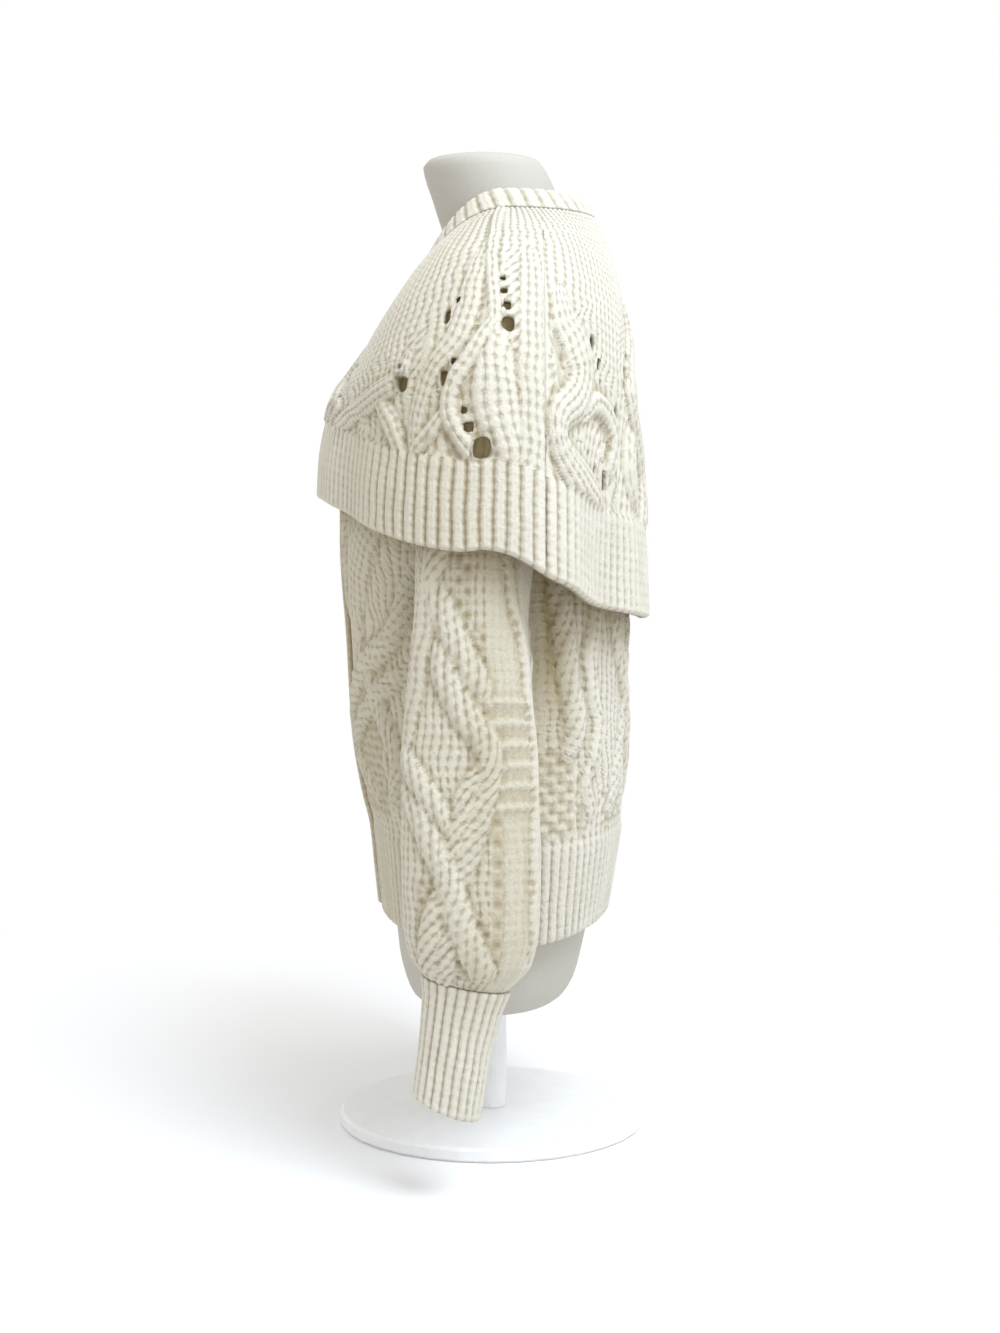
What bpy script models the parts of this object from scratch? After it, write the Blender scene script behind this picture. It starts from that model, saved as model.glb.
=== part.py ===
"""A cable-knit cardigan with a shoulder capelet, worn by a limbless dress form on a stand.

Metres, +Z up. The wearer faces -Y and the wearer's left side is +X. The origin is the
centre of the stand's foot, on the surface that it stands on.
"""

import math

import bmesh
import bpy
import numpy as np
from mathutils import Matrix, Vector

# Driving sizes of the cloth.
BODY_WALL = 0.0040
SLEEVE_WALL = 0.0040
CAPE_WALL = 0.0045
SEAM_GAP = 0.0003
CUFF_WALL = 0.0035
SLEEVE_SEAT = 0.0009
RIB_RISE = 0.0024
CUFF_RIB_RISE = 0.0018
NECK_RIB_RISE = 0.0020
BAND_RISE = 0.0010
EYELET_CUT = 0.0150
STRAND_FADE = 0.04
RELIEF_START = 1.5
RELIEF_FADE = 0.4
CAPE_SEAM_Y = 0.0400
CENTRE_GAP = 0.0012

# Ribs are counted over each whole edge.
BODY_RIB_PITCH = 0.0080
CAPE_RIB_PITCH = 0.0135
CUFF_RIB_PITCH = 0.0075
NECK_RIB_PITCH = 0.0125

# How finely each piece is divided round and along, from row to row of knitting that it shows.
BACK_COLUMNS = 24
FRONT_COLUMNS = 12
CAPE_BACK_COLUMNS = 30
CAPE_FRONT_COLUMNS = 16
SLEEVE_COLUMNS_ROUND = 18
ARMHOLE_COLUMNS = 36
CUFF_INNER_COLUMNS = 12
NECK_INNER_COLUMNS = 20
FORM_COLUMNS = 22
TOP_BAND_RIBS = 3
EYELET_SEGMENTS = 6

# A plain stretch between a rib's last row and the first row of the knitting beyond it.
BODY_RIB_TURN = 0.025
CAPE_RIB_TURN = 0.045

# Front bands: the wearer's right band laps over the left one.
UNDER_BAND_EDGES = (-0.0150, 0.0150)
TOP_BAND_EDGES = (-0.0205, 0.0130)
TOP_BAND_BASE = 0.0006
TOP_BAND_END = 0.985
FLAT_RIBS = 3

# Armhole, as an oval seen from the side.
ARMHOLE_CENTRE_Y = 0.0060
ARMHOLE_CENTRE_Z = 0.6140
ARMHOLE_HALF_DEPTH = 0.0480
ARMHOLE_HALF_HEIGHT = 0.0610

# Stand.
FOOT_RADIUS = 0.130
FOOT_THICKNESS = 0.012
FOOT_EDGE = 0.0025
POLE_RADIUS = 0.0125
FLANGE_RADIUS = 0.032
FLANGE_THICKNESS = 0.006
FORM_BOTTOM_Z = 0.1130

RING_COLUMNS = (
    "name", "z_front", "z_side", "z_back", "y_front", "y_back", "half_width", "squareness",
    "back_bend",
)

# The body's outer face, from hem to neck seam.
BODY_RINGS = (
    ("hem", 0.1890, 0.1780, 0.1920, -0.0905, 0.0970, 0.1580, 2.30, 2.00),
    ("rib middle", 0.2220, 0.2130, 0.2230, -0.0940, 0.1020, 0.1610, 2.30, 2.00),
    ("rib top", 0.2560, 0.2480, 0.2550, -0.0975, 0.1070, 0.1640, 2.30, 2.00),
    ("blouse", 0.2860, 0.2820, 0.2860, -0.1045, 0.1100, 0.1690, 2.35, 2.00),
    ("waist", 0.3350, 0.3350, 0.3350, -0.1125, 0.1110, 0.1700, 2.35, 2.00),
    ("ribcage", 0.4150, 0.4150, 0.4150, -0.1170, 0.1115, 0.1690, 2.35, 2.00),
    ("bust", 0.4950, 0.4950, 0.4950, -0.1220, 0.1095, 0.1680, 2.35, 2.00),
    ("underarm", 0.5450, 0.5450, 0.5450, -0.1215, 0.1060, 0.1680, 2.40, 2.00),
    ("chest", 0.6000, 0.6000, 0.6000, -0.1040, 0.1010, 0.1680, 2.45, 2.00),
    ("upper chest", 0.6500, 0.6500, 0.6500, -0.0820, 0.0960, 0.1680, 2.40, 2.00),
    ("shoulder tip", 0.6960, 0.6960, 0.6960, -0.0585, 0.0900, 0.1630, 2.30, 2.00),
    ("shoulder", 0.7060, 0.7230, 0.7230, -0.0535, 0.0860, 0.1330, 2.20, 2.00),
    ("shoulder top", 0.7090, 0.7410, 0.7420, -0.0520, 0.0835, 0.1030, 2.10, 2.00),
    ("neck seam", 0.7130, 0.7540, 0.7560, -0.0500, 0.0810, 0.0780, 2.00, 2.00),
)

# The capelet's outer face, from neck seam to hem.
CAPE_RINGS = (
    ("neck seam", 0.7180, 0.7600, 0.7620, -0.0595, 0.0875, 0.0850, 2.00, 2.00),
    ("collar bone", 0.7020, 0.7480, 0.7400, -0.0720, 0.0965, 0.1180, 2.10, 2.00),
    ("shoulder", 0.6770, 0.7270, 0.7060, -0.0865, 0.1055, 0.1640, 2.20, 2.00),
    ("shoulder tip", 0.6540, 0.7030, 0.6730, -0.1005, 0.1110, 0.1980, 2.20, 1.90),
    ("upper arm", 0.6310, 0.6660, 0.6330, -0.1140, 0.1150, 0.2280, 2.15, 1.70),
    ("arm", 0.6110, 0.6210, 0.5850, -0.1270, 0.1190, 0.2480, 2.10, 1.40),
    ("rib top", 0.5900, 0.5450, 0.4980, -0.1355, 0.1260, 0.2600, 2.05, 1.15),
    ("rib middle", 0.5630, 0.5160, 0.4670, -0.1400, 0.1275, 0.2640, 2.05, 1.05),
    ("hem", 0.5330, 0.4860, 0.4310, -0.1415, 0.1285, 0.2670, 2.05, 1.00),
)

# The neckband's outer face, from its seam to its free edge.
NECKBAND_RINGS = (
    ("seam", 0.7186, 0.7606, 0.7626, -0.0580, 0.0860, 0.0835, 2.00, 2.00),
    ("middle", 0.7230, 0.7710, 0.7730, -0.0560, 0.0795, 0.0770, 2.00, 2.00),
    ("edge", 0.7290, 0.7780, 0.7800, -0.0530, 0.0730, 0.0710, 2.00, 2.00),
)

# The dress form's face, from its base to its neck. Its shoulders follow the body's.
FORM_RINGS = (
    ("base", FORM_BOTTOM_Z, FORM_BOTTOM_Z, FORM_BOTTOM_Z, -0.0560, 0.0510, 0.1000, 2.10, 2.0),
    ("base round", 0.1170, 0.1170, 0.1170, -0.0665, 0.0610, 0.1180, 2.10, 2.0),
    ("base side", 0.1320, 0.1320, 0.1320, -0.0735, 0.0705, 0.1320, 2.15, 2.0),
    ("thigh", 0.1550, 0.1550, 0.1550, -0.0785, 0.0765, 0.1400, 2.20, 2.0),
    ("hip", 0.2050, 0.2050, 0.2050, -0.0820, 0.0860, 0.1460, 2.20, 2.0),
    ("seat", 0.2500, 0.2500, 0.2500, -0.0815, 0.0915, 0.1450, 2.20, 2.0),
    ("high hip", 0.3100, 0.3100, 0.3100, -0.0795, 0.0870, 0.1330, 2.15, 2.0),
    ("waist", 0.3800, 0.3800, 0.3800, -0.0790, 0.0800, 0.1200, 2.10, 2.0),
    ("ribcage", 0.4500, 0.4500, 0.4500, -0.0930, 0.0850, 0.1320, 2.15, 2.0),
    ("bust", 0.5150, 0.5150, 0.5150, -0.1100, 0.0905, 0.1460, 2.20, 2.0),
    ("chest", 0.5650, 0.5650, 0.5650, -0.1040, 0.0930, 0.1520, 2.25, 2.0),
    ("upper chest", 0.6200, 0.6200, 0.6200, -0.0830, 0.0905, 0.1540, 2.30, 2.0),
    ("armpit top", 0.6600, 0.6600, 0.6600, -0.0660, 0.0865, 0.1535, 2.30, 2.0),
    ("shoulder tip", 0.6860, 0.6880, 0.6880, -0.0520, 0.0790, 0.1525, 2.20, 2.0),
    ("shoulder", 0.6980, 0.7175, 0.7150, -0.0445, 0.0740, 0.1285, 2.10, 2.0),
    ("neck root", 0.7025, 0.7355, 0.7350, -0.0430, 0.0720, 0.0985, 2.05, 2.0),
    ("neck base", 0.7085, 0.7480, 0.7490, -0.0410, 0.0680, 0.0730, 2.00, 2.0),
    ("neck low", 0.7380, 0.7640, 0.7680, -0.0380, 0.0600, 0.0580, 2.00, 2.0),
    ("neck", 0.7720, 0.7800, 0.7850, -0.0470, 0.0540, 0.0525, 2.00, 2.0),
    ("neck rim", 0.8070, 0.8070, 0.8070, -0.0572, 0.0430, 0.0505, 2.00, 2.0),
    ("neck cap", 0.8110, 0.8110, 0.8110, -0.0535, 0.0395, 0.0470, 2.00, 2.0),
)

# The left sleeve's outer face, from armhole to cuff seam, as seen from the front (inner and
# outer line) and from the side (front and back). Rise is how far the front is above the back.
SLEEVE_COLUMNS = (
    "name", "inner_x", "inner_z", "outer_x", "outer_z", "y_front", "y_back", "rise", "squareness",
)
SLEEVE_RINGS = (
    ("armhole", 0.1740, 0.5475, 0.1740, 0.6805, -0.0475, 0.0595, 0.000, 2.00),
    ("sleeve head", 0.1785, 0.5350, 0.1990, 0.6730, -0.0520, 0.0580, 0.000, 2.15),
    ("cap", 0.1800, 0.5200, 0.2210, 0.6430, -0.0540, 0.0500, 0.000, 2.20),
    ("under cape", 0.1805, 0.5000, 0.2385, 0.5950, -0.0545, 0.0400, 0.000, 2.25),
    ("cape hem", 0.1805, 0.4720, 0.2440, 0.5250, -0.0550, 0.0300, 0.000, 2.30),
    ("upper arm", 0.1805, 0.4350, 0.2470, 0.4620, -0.0560, 0.0255, 0.000, 2.30),
    ("elbow", 0.1810, 0.3820, 0.2510, 0.3920, -0.0600, 0.0305, 0.000, 2.30),
    ("forearm", 0.1815, 0.3170, 0.2560, 0.3190, -0.0650, 0.0350, 0.000, 2.30),
    ("balloon", 0.1810, 0.2560, 0.2590, 0.2560, -0.0660, 0.0375, 0.002, 2.30),
    ("balloon low", 0.1795, 0.2120, 0.2580, 0.2120, -0.0650, 0.0365, 0.004, 2.25),
    ("gather", 0.1835, 0.1840, 0.2525, 0.1840, -0.0610, 0.0310, 0.008, 2.15),
    ("cuff seam", 0.1905, 0.1650, 0.2425, 0.1650, -0.0495, 0.0130, 0.012, 2.05),
)

# The left cuff's outer face, from its seam to its free edge.
CUFF_RINGS = (
    ("cuff seam", 0.1915, 0.1642, 0.2415, 0.1642, -0.0485, 0.0120, 0.012, 2.00),
    ("cuff middle", 0.1930, 0.1180, 0.2430, 0.1180, -0.0515, -0.0020, 0.018, 2.00),
    ("cuff edge", 0.1935, 0.0780, 0.2440, 0.0780, -0.0575, -0.0095, 0.030, 2.00),
)

# Soft folds of the cape and body: where round the ring (0 centre front, 0.25 left side), how wide,
# how deep at the hem (negative is a hollow) and how far down from the neck each begins.
FOLD_COLUMNS = ("around", "half_width", "depth", "start")
CAPE_FOLDS = (
    (0.355, 0.055, -0.0130, 0.35),
    (0.290, 0.040, 0.0040, 0.45),
    (0.135, 0.045, -0.0050, 0.45),
    (0.060, 0.035, 0.0020, 0.55),
    (0.435, 0.045, 0.0020, 0.45),
)
BODY_FOLDS = (
    (0.300, 0.035, -0.0050, 0.35),
    (0.360, 0.030, 0.0025, 0.45),
    (0.420, 0.030, -0.0025, 0.50),
    (0.130, 0.035, -0.0035, 0.45),
)

# Strands of the cables: how wide and high, then points (around, along) from one end to the
# other. Each is on the left, with its mirror on the right.
CAPE_STRANDS = (
    ("back wave", 0.0150, 0.0045, (
        (0.296, 0.300), (0.293, 0.385), (0.313, 0.485), (0.339, 0.542), (0.304, 0.645),
        (0.288, 0.700), (0.306, 0.758), (0.357, 0.800), (0.372, 0.850))),
    ("back leaf", 0.0130, 0.0040, ((0.304, 0.650), (0.336, 0.640), (0.375, 0.655), (0.373, 0.720))),
    ("shoulder leaf front", 0.0130, 0.0040, (
        (0.257, 0.525), (0.240, 0.570), (0.226, 0.672), (0.224, 0.753))),
    ("shoulder leaf", 0.0180, 0.0045, ((0.252, 0.560), (0.256, 0.660), (0.262, 0.760))),
    ("shoulder column", 0.0130, 0.0030, ((0.246, 0.100), (0.248, 0.300), (0.244, 0.480))),
    ("front wave", 0.0150, 0.0045, (
        (0.187, 0.620), (0.158, 0.667), (0.123, 0.725), (0.101, 0.835))),
    ("front leaf", 0.0120, 0.0035, ((0.172, 0.660), (0.186, 0.720), (0.198, 0.790))),
    ("centre wave", 0.0150, 0.0045, (
        (0.440, 0.300), (0.446, 0.385), (0.428, 0.485), (0.416, 0.545), (0.440, 0.645),
        (0.452, 0.700), (0.444, 0.790), (0.430, 0.850))),
    ("chest wave", 0.0150, 0.0045, (
        (0.068, 0.420), (0.052, 0.530), (0.070, 0.640), (0.046, 0.760), (0.058, 0.850))),
)

# Diamond cables: two strands that cross each time they come back to the centre line.
DIAMOND_COLUMNS = ("centre", "half_width", "crossing", "period", "start", "end", "strand", "rise")
BODY_DIAMONDS = (
    (0.105, 0.052, 0.395, 0.225, 0.170, 0.940, 0.0120, 0.0042),
    (0.338, 0.038, 0.200, 0.225, 0.170, 0.900, 0.0120, 0.0042),
    (0.440, 0.045, 0.312, 0.225, 0.170, 0.960, 0.0120, 0.0042),
)
SLEEVE_DIAMONDS = (
    (0.200, 0.105, 0.850, 0.400, 0.220, 0.970, 0.0105, 0.0040),
    (0.700, 0.105, 0.850, 0.400, 0.300, 0.970, 0.0105, 0.0030),
)

# Welts: level ridges on the outer side of each sleeve.
WELT_COLUMNS = ("low", "high", "from", "to", "count", "rise")
SLEEVE_WELTS = ((0.540, 0.710, 0.310, 0.440, 6, 0.0025),)

# Eyelets of the cape on its left side, with a mirror of each on the right.
EYELET_COLUMNS = ("around", "along", "width", "height")
EYELETS = (
    (0.2550, 0.395, 0.0060, 0.0070),
    (0.2580, 0.425, 0.0070, 0.0080),
    (0.2600, 0.462, 0.0085, 0.0090),
    (0.2610, 0.503, 0.0090, 0.0100),
    (0.2240, 0.440, 0.0050, 0.0110),
    (0.2280, 0.495, 0.0050, 0.0110),
    (0.2250, 0.622, 0.0060, 0.0080),
    (0.2350, 0.605, 0.0050, 0.0080),
    (0.2370, 0.712, 0.0070, 0.0080),
    (0.2480, 0.745, 0.0140, 0.0130),
    (0.1850, 0.540, 0.0050, 0.0100),
    (0.1930, 0.628, 0.0100, 0.0110),
    (0.3360, 0.485, 0.0080, 0.0090),
    (0.3500, 0.512, 0.0080, 0.0100),
    (0.3560, 0.550, 0.0070, 0.0090),
    (0.3840, 0.610, 0.0120, 0.0130),
    (0.3330, 0.743, 0.0070, 0.0080),
    (0.3460, 0.755, 0.0070, 0.0090),
    (0.3610, 0.748, 0.0080, 0.0090),
    (0.4180, 0.470, 0.0080, 0.0090),
    (0.4080, 0.505, 0.0080, 0.0100),
    (0.0900, 0.545, 0.0080, 0.0090),
    (0.0860, 0.640, 0.0110, 0.0110),
)

# Colours, as seen under daylight.
CREAM = (0.80, 0.76, 0.66)
FORM_GREY = (0.62, 0.60, 0.56)
STAND_WHITE = (0.80, 0.80, 0.79)


def named_rows(columns, rows):
    """Each row of a table as a dictionary."""
    return [dict(zip(columns, row)) for row in rows]


def smooth_step(t):
    """0 below 0, 1 above 1, and a soft S between."""
    t = np.clip(t, 0.0, 1.0)
    return t * t * (3 - 2 * t)


def bump(t):
    """A soft hill: 1 at 0, falling to 0 at -1 and 1."""
    return np.where(np.abs(t) < 1, 0.5 + 0.5 * np.cos(np.pi * np.clip(t, -1, 1)), 0.0)


def along_rows(places, values, wanted):
    """A smooth curve through values at places, which doesn't overshoot, read at wanted."""
    steps = np.diff(places)
    slopes = np.diff(values) / steps
    turns = np.zeros(len(values))
    turns[0], turns[-1] = slopes[0], slopes[-1]
    for i in range(1, len(values) - 1):
        before, after = slopes[i - 1], slopes[i]
        if before * after > 0:
            w1 = 2 * steps[i] + steps[i - 1]
            w2 = steps[i] + 2 * steps[i - 1]
            turns[i] = (w1 + w2) / (w1 / before + w2 / after)
    i = np.clip(np.searchsorted(places, wanted) - 1, 0, len(steps) - 1)
    t = (wanted - places[i]) / steps[i]
    return (
        values[i] * (1 + 2 * t) * (1 - t) ** 2
        + turns[i] * steps[i] * t * (1 - t) ** 2
        + values[i + 1] * t * t * (3 - 2 * t)
        + turns[i + 1] * steps[i] * t * t * (t - 1)
    )


class Loft:
    """A skin through rings. around runs 0 at the centre front, 0.25 at the wearer's left (or a
    sleeve's outer side), 0.5 at the back; along runs 0 to 1 from the first ring to the last.
    """

    FINE_ALONG = 161
    FINE_AROUND = 361

    def __init__(self, rows, columns, ring, folds=()):
        self.columns = columns[1:]
        self.names = [row[0] for row in rows]
        numbers = np.array([row[1:] for row in rows], float)
        corners = np.array([ring(dict(zip(self.columns, row)), 5)[:4] for row in numbers])
        steps = np.linalg.norm(np.diff(corners, axis=0), axis=2).mean(axis=1)
        self.places = np.concatenate([[0], np.cumsum(steps)]) / steps.sum()
        self.length = steps.sum()
        self.fine_along = np.linspace(0, 1, self.FINE_ALONG)
        self.fine = {
            column: along_rows(self.places, numbers[:, i], self.fine_along)
            for i, column in enumerate(self.columns)
        }
        self.fine_around = np.linspace(0, 1, self.FINE_AROUND)
        grid = []
        for k in range(self.FINE_ALONG):
            row = {column: values[k] for column, values in self.fine.items()}
            points = ring(row, 1441)
            reach = np.concatenate([[0], np.cumsum(np.linalg.norm(np.diff(points, axis=0), axis=1))])
            share = reach / reach[-1]
            grid.append([np.interp(self.fine_around, share, points[:, a]) for a in range(3)])
        self.grid = np.array(grid).transpose(0, 2, 1)
        for row in named_rows(FOLD_COLUMNS, folds):
            self.fold(row["around"], row["half_width"], row["depth"], row["start"])
        self.normals = self.grid_normals()
        self.girths = np.array([self.girth(along) for along in self.fine_along])

    def fold(self, centre, half_width, depth, start):
        """Moves the skin in or out along a soft ridge, on the left and mirrored on the right."""
        normals = self.grid_normals()
        ramp = smooth_step((self.fine_along - start) / (1 - start))
        for place in (centre, 1 - centre):
            hill = bump((self.fine_around - place) / half_width)
            self.grid = self.grid + normals * (ramp[:, None] * hill[None, :] * depth)[:, :, None]

    def grid_normals(self):
        across = np.gradient(self.grid, axis=1)
        across[:, 0] = across[:, -1] = self.grid[:, 1] - self.grid[:, -2]
        normals = np.cross(across, np.gradient(self.grid, axis=0))
        normals /= np.linalg.norm(normals, axis=2, keepdims=True)
        middle = self.grid.mean(axis=1, keepdims=True)
        outward = np.sign(((self.grid - middle) * normals).sum())
        return normals * outward

    def read(self, table, around, along):
        a = np.clip(np.asarray(along, float), 0, 1) * (self.FINE_ALONG - 1)
        b = np.mod(np.asarray(around, float), 1.0) * (self.FINE_AROUND - 1)
        i = np.clip(a.astype(int), 0, self.FINE_ALONG - 2)
        j = np.clip(b.astype(int), 0, self.FINE_AROUND - 2)
        p, q = (a - i)[..., None], (b - j)[..., None]
        return (
            table[i, j] * (1 - p) * (1 - q)
            + table[i + 1, j] * p * (1 - q)
            + table[i, j + 1] * (1 - p) * q
            + table[i + 1, j + 1] * p * q
        )

    def points(self, around, along, rise=0.0):
        """Points of the skin, moved out by rise along its normals."""
        normals = self.read(self.normals, around, along)
        normals = normals / np.linalg.norm(normals, axis=-1, keepdims=True)
        return self.read(self.grid, around, along) + normals * np.asarray(rise)[..., None]

    def place(self, name):
        """How far along a named ring is."""
        return self.places[self.names.index(name)]

    def girth(self, along):
        """The length round the skin there."""
        loop = self.read(self.grid, self.fine_around * 0.999999, np.full(self.FINE_AROUND, along))
        return np.linalg.norm(np.diff(loop, axis=0), axis=1).sum()

    def girth_at(self, along):
        """The length round the skin at each along, read from a table."""
        return np.interp(along, self.fine_along, self.girths)

    def around_at_y(self, y, along):
        """Where on the left half the skin has that y."""
        loop = self.read(self.grid, self.fine_around / 2, np.full(self.FINE_AROUND, along))
        return float(np.interp(y, loop[:, 1], self.fine_around / 2))

    def heights(self, around):
        """The skin's height at each fine along, on one line up the skin."""
        return self.read(self.grid, np.full(self.FINE_ALONG, around), self.fine_along)[:, 2]

    def around_at_x(self, x, along):
        """Where on the front, near its centre, the skin has that x. Negative is the right side."""
        near = np.linspace(0, 0.2, 201)
        loop = self.read(self.grid, near, np.full(201, along))
        return math.copysign(float(np.interp(abs(x), loop[:, 0], near)), x)


def turned(power, angle_value):
    """A sine or cosine raised to the power that a rounded box's outline has."""
    return np.sign(angle_value) * np.abs(angle_value) ** (2 / power)


def level_ring(row, count):
    """A rounded outline from the centre front round by the wearer's left. Its height changes
    from front to side to back, at once behind the side where back_bend is near 1."""
    angle = np.linspace(-math.pi / 2, 1.5 * math.pi, count)
    across, deep = np.cos(angle), np.sin(angle)
    middle = (row["y_front"] + row["y_back"]) / 2
    half_depth = (row["y_back"] - row["y_front"]) / 2
    end = np.where(deep < 0, row["z_front"], row["z_back"])
    bend = np.where(deep < 0, 2.0, row["back_bend"])
    return np.stack(
        [
            row["half_width"] * turned(row["squareness"], across),
            middle + half_depth * turned(row["squareness"], deep),
            row["z_side"] + (end - row["z_side"]) * np.abs(deep) ** bend,
        ],
        axis=1,
    )


def sleeve_ring(row, count):
    """A rounded outline from a sleeve's front round by its outer side."""
    angle = np.linspace(-math.pi / 2, 1.5 * math.pi, count)
    out, deep = turned(row["squareness"], np.cos(angle)), turned(row["squareness"], np.sin(angle))
    middle_x = (row["inner_x"] + row["outer_x"]) / 2
    middle_y = (row["y_front"] + row["y_back"]) / 2
    middle_z = (row["inner_z"] + row["outer_z"]) / 2
    return np.stack(
        [
            middle_x + out * (row["outer_x"] - row["inner_x"]) / 2,
            middle_y + deep * (row["y_back"] - row["y_front"]) / 2,
            middle_z + out * (row["outer_z"] - row["inner_z"]) / 2 - deep * row["rise"] / 2,
        ],
        axis=1,
    )


def near_path(loft, around, along, path):
    """How far each place on the skin is from a path of (around, along) points, in metres."""
    path = np.array(path)
    girth = loft.girth_at(along)
    nearest = np.full(np.shape(around), 1.0)
    for (a0, v0), (a1, v1) in zip(path[:-1], path[1:]):
        across, down = (a1 - a0) * girth, (v1 - v0) * loft.length
        x, y = (around - a0) * girth, (along - v0) * loft.length
        t = np.clip((x * across + y * down) / (across**2 + down**2), 0, 1)
        nearest = np.minimum(nearest, np.hypot(x - t * across, y - t * down))
    return nearest


def strand_relief(loft, strands):
    """Height of the strands at each place, the same on both sides of the wearer."""

    def relief(around, along):
        left = np.minimum(around % 1, 1 - around % 1)
        height = np.zeros(np.shape(around))
        for name, width, rise, path in strands:
            distance = near_path(loft, left, along, path)
            height = np.maximum(height, rise * bump(distance / width))
        return height

    return relief


def diamond_relief(loft, diamonds, mirrored=True):
    """Height of diamond cables: two strands that swing out and back in a zigzag."""

    def relief(around, along):
        place = around % 1
        if mirrored:
            place = np.minimum(place, 1 - place)
        height = np.zeros(np.shape(around))
        girth = loft.girth_at(along)
        for row in named_rows(DIAMOND_COLUMNS, diamonds):
            turn = np.abs(((along - row["crossing"]) / row["period"] + 0.5) % 1 - 0.5) * 2
            swing = row["half_width"] * turn
            slope = row["half_width"] * 2 * girth / (row["period"] * loft.length)
            fade = smooth_step((along - row["start"]) / STRAND_FADE)
            fade = fade * smooth_step((row["end"] - along) / STRAND_FADE)
            for side in (-1, 1):
                distance = np.abs(place - row["centre"] - side * swing) * girth / np.hypot(1, slope)
                height = np.maximum(height, row["rise"] * fade * bump(distance / row["strand"]))
        return height

    return relief


class Row:
    """One line of points across a panel or round a tube."""

    def __init__(self, loft, along, around, rise):
        self.around = around
        self.along = along
        self.points = loft.points(around, np.full(len(around), along), rise)


def new_material(name, colour, roughness, metallic=0.0):
    material = bpy.data.materials.new(name)
    material.use_nodes = True
    surface = material.node_tree.nodes["Principled BSDF"]
    surface.inputs["Base Color"].default_value = (*colour, 1)
    surface.inputs["Roughness"].default_value = roughness
    surface.inputs["Metallic"].default_value = metallic
    material.diffuse_color = (*colour, 1)
    return material


def zip_lines(mesh, line_a, line_b):
    """Triangles between two lines of (place, vertex) that run side by side."""
    i = j = 0
    while i < len(line_a) - 1 or j < len(line_b) - 1:
        step_a = j == len(line_b) - 1
        if i < len(line_a) - 1 and j < len(line_b) - 1:
            step_a = line_a[i + 1][0] + line_a[i][0] <= line_b[j + 1][0] + line_b[j][0] + 1e-9
        if step_a:
            corners = (line_a[i][1], line_a[i + 1][1], line_b[j][1])
            i += 1
        else:
            corners = (line_a[i][1], line_b[j + 1][1], line_b[j][1])
            j += 1
        mesh.faces.new(corners)


def wall_object(name, outer, inner, material, closed=False):
    """A solid wall between an outer and an inner set of rows that start and end together.

    closed joins the last point of each row to its first, for a tube."""
    mesh = bmesh.new()

    def lines(rows):
        made = []
        for row in rows:
            share = (row.around - row.around[0]) / (row.around[-1] - row.around[0])
            count = len(share) - 1 if closed else len(share)
            corners = [mesh.verts.new(point) for point in row.points[:count]]
            if closed:
                corners.append(corners[0])
            made.append(list(zip(share, corners)))
        for below, above in zip(made[:-1], made[1:]):
            zip_lines(mesh, below, above)
        return made

    outer_lines, inner_lines = lines(outer), lines(inner)
    zip_lines(mesh, outer_lines[0], inner_lines[0])
    zip_lines(mesh, outer_lines[-1], inner_lines[-1])
    if not closed:
        for end in (0, -1):
            sides = []
            for rows, made in ((outer, outer_lines), (inner, inner_lines)):
                reach = [(row.along - rows[0].along) / (rows[-1].along - rows[0].along) for row in rows]
                sides.append([(reach[k], line[end][1]) for k, line in enumerate(made)])
            zip_lines(mesh, *sides)
    bmesh.ops.recalc_face_normals(mesh, faces=mesh.faces)
    return finish_object(name, mesh, material)


def finish_object(name, mesh, material):
    data = bpy.data.meshes.new(name)
    mesh.to_mesh(data)
    mesh.free()
    data.materials.append(material)
    piece = bpy.data.objects.new(name, data)
    parts.objects.link(piece)
    return piece


def rib_rises(count, rise):
    """Ridges and valleys over count ribs, starting and ending in a valley."""
    return np.where(np.arange(2 * count + 1) % 2 == 1, rise, 0.0)


def panel(name, loft, wall, start, end, rib_alongs, ribs, alongs, columns, relief, material,
          flat_columns=0, inner_step=2):
    """A knitted panel with a ribbed hem. start and end give its side edges at each along.

    rib_alongs holds the hem's rows and alongs those of the knitting beyond it, both in the
    same direction from the hem. The first flat_columns of the ribs are flat."""
    outer, inner = [], []
    ridges = rib_rises(ribs, RIB_RISE)
    ridges[:flat_columns] = 0
    for along in rib_alongs:
        around = np.linspace(start(along), end(along), 2 * ribs + 1)
        outer.append(Row(loft, along, around, ridges))
    for along in alongs:
        around = np.linspace(start(along), end(along), columns + 1)
        rise = relief(around, np.full(columns + 1, along))
        outer.append(Row(loft, along, around, rise))
    every = list(rib_alongs) + list(alongs)
    keep = sorted({0, len(rib_alongs) - 1, len(every) - 1, *range(len(rib_alongs), len(every), 2)})
    for along in (every[k] for k in keep):
        around = np.linspace(start(along), end(along), columns // inner_step + 1)
        inner.append(Row(loft, along, around, np.full(len(around), -wall)))
    return wall_object(name, outer, inner, material)


def tube_rows(loft, alongs, columns, relief):
    """Rows round a tube, each with its relief."""
    around = np.linspace(0, 1, columns + 1)
    return [Row(loft, v, around, relief(around, np.full(columns + 1, v))) for v in alongs]


def mirrored(piece, name):
    """A copy of a left piece for the wearer's right."""
    mesh = bmesh.new()
    mesh.from_mesh(piece.data)
    for vertex in mesh.verts:
        vertex.co.x = -vertex.co.x
    bmesh.ops.reverse_faces(mesh, faces=mesh.faces)
    return finish_object(name, mesh, piece.data.materials[0])


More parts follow.
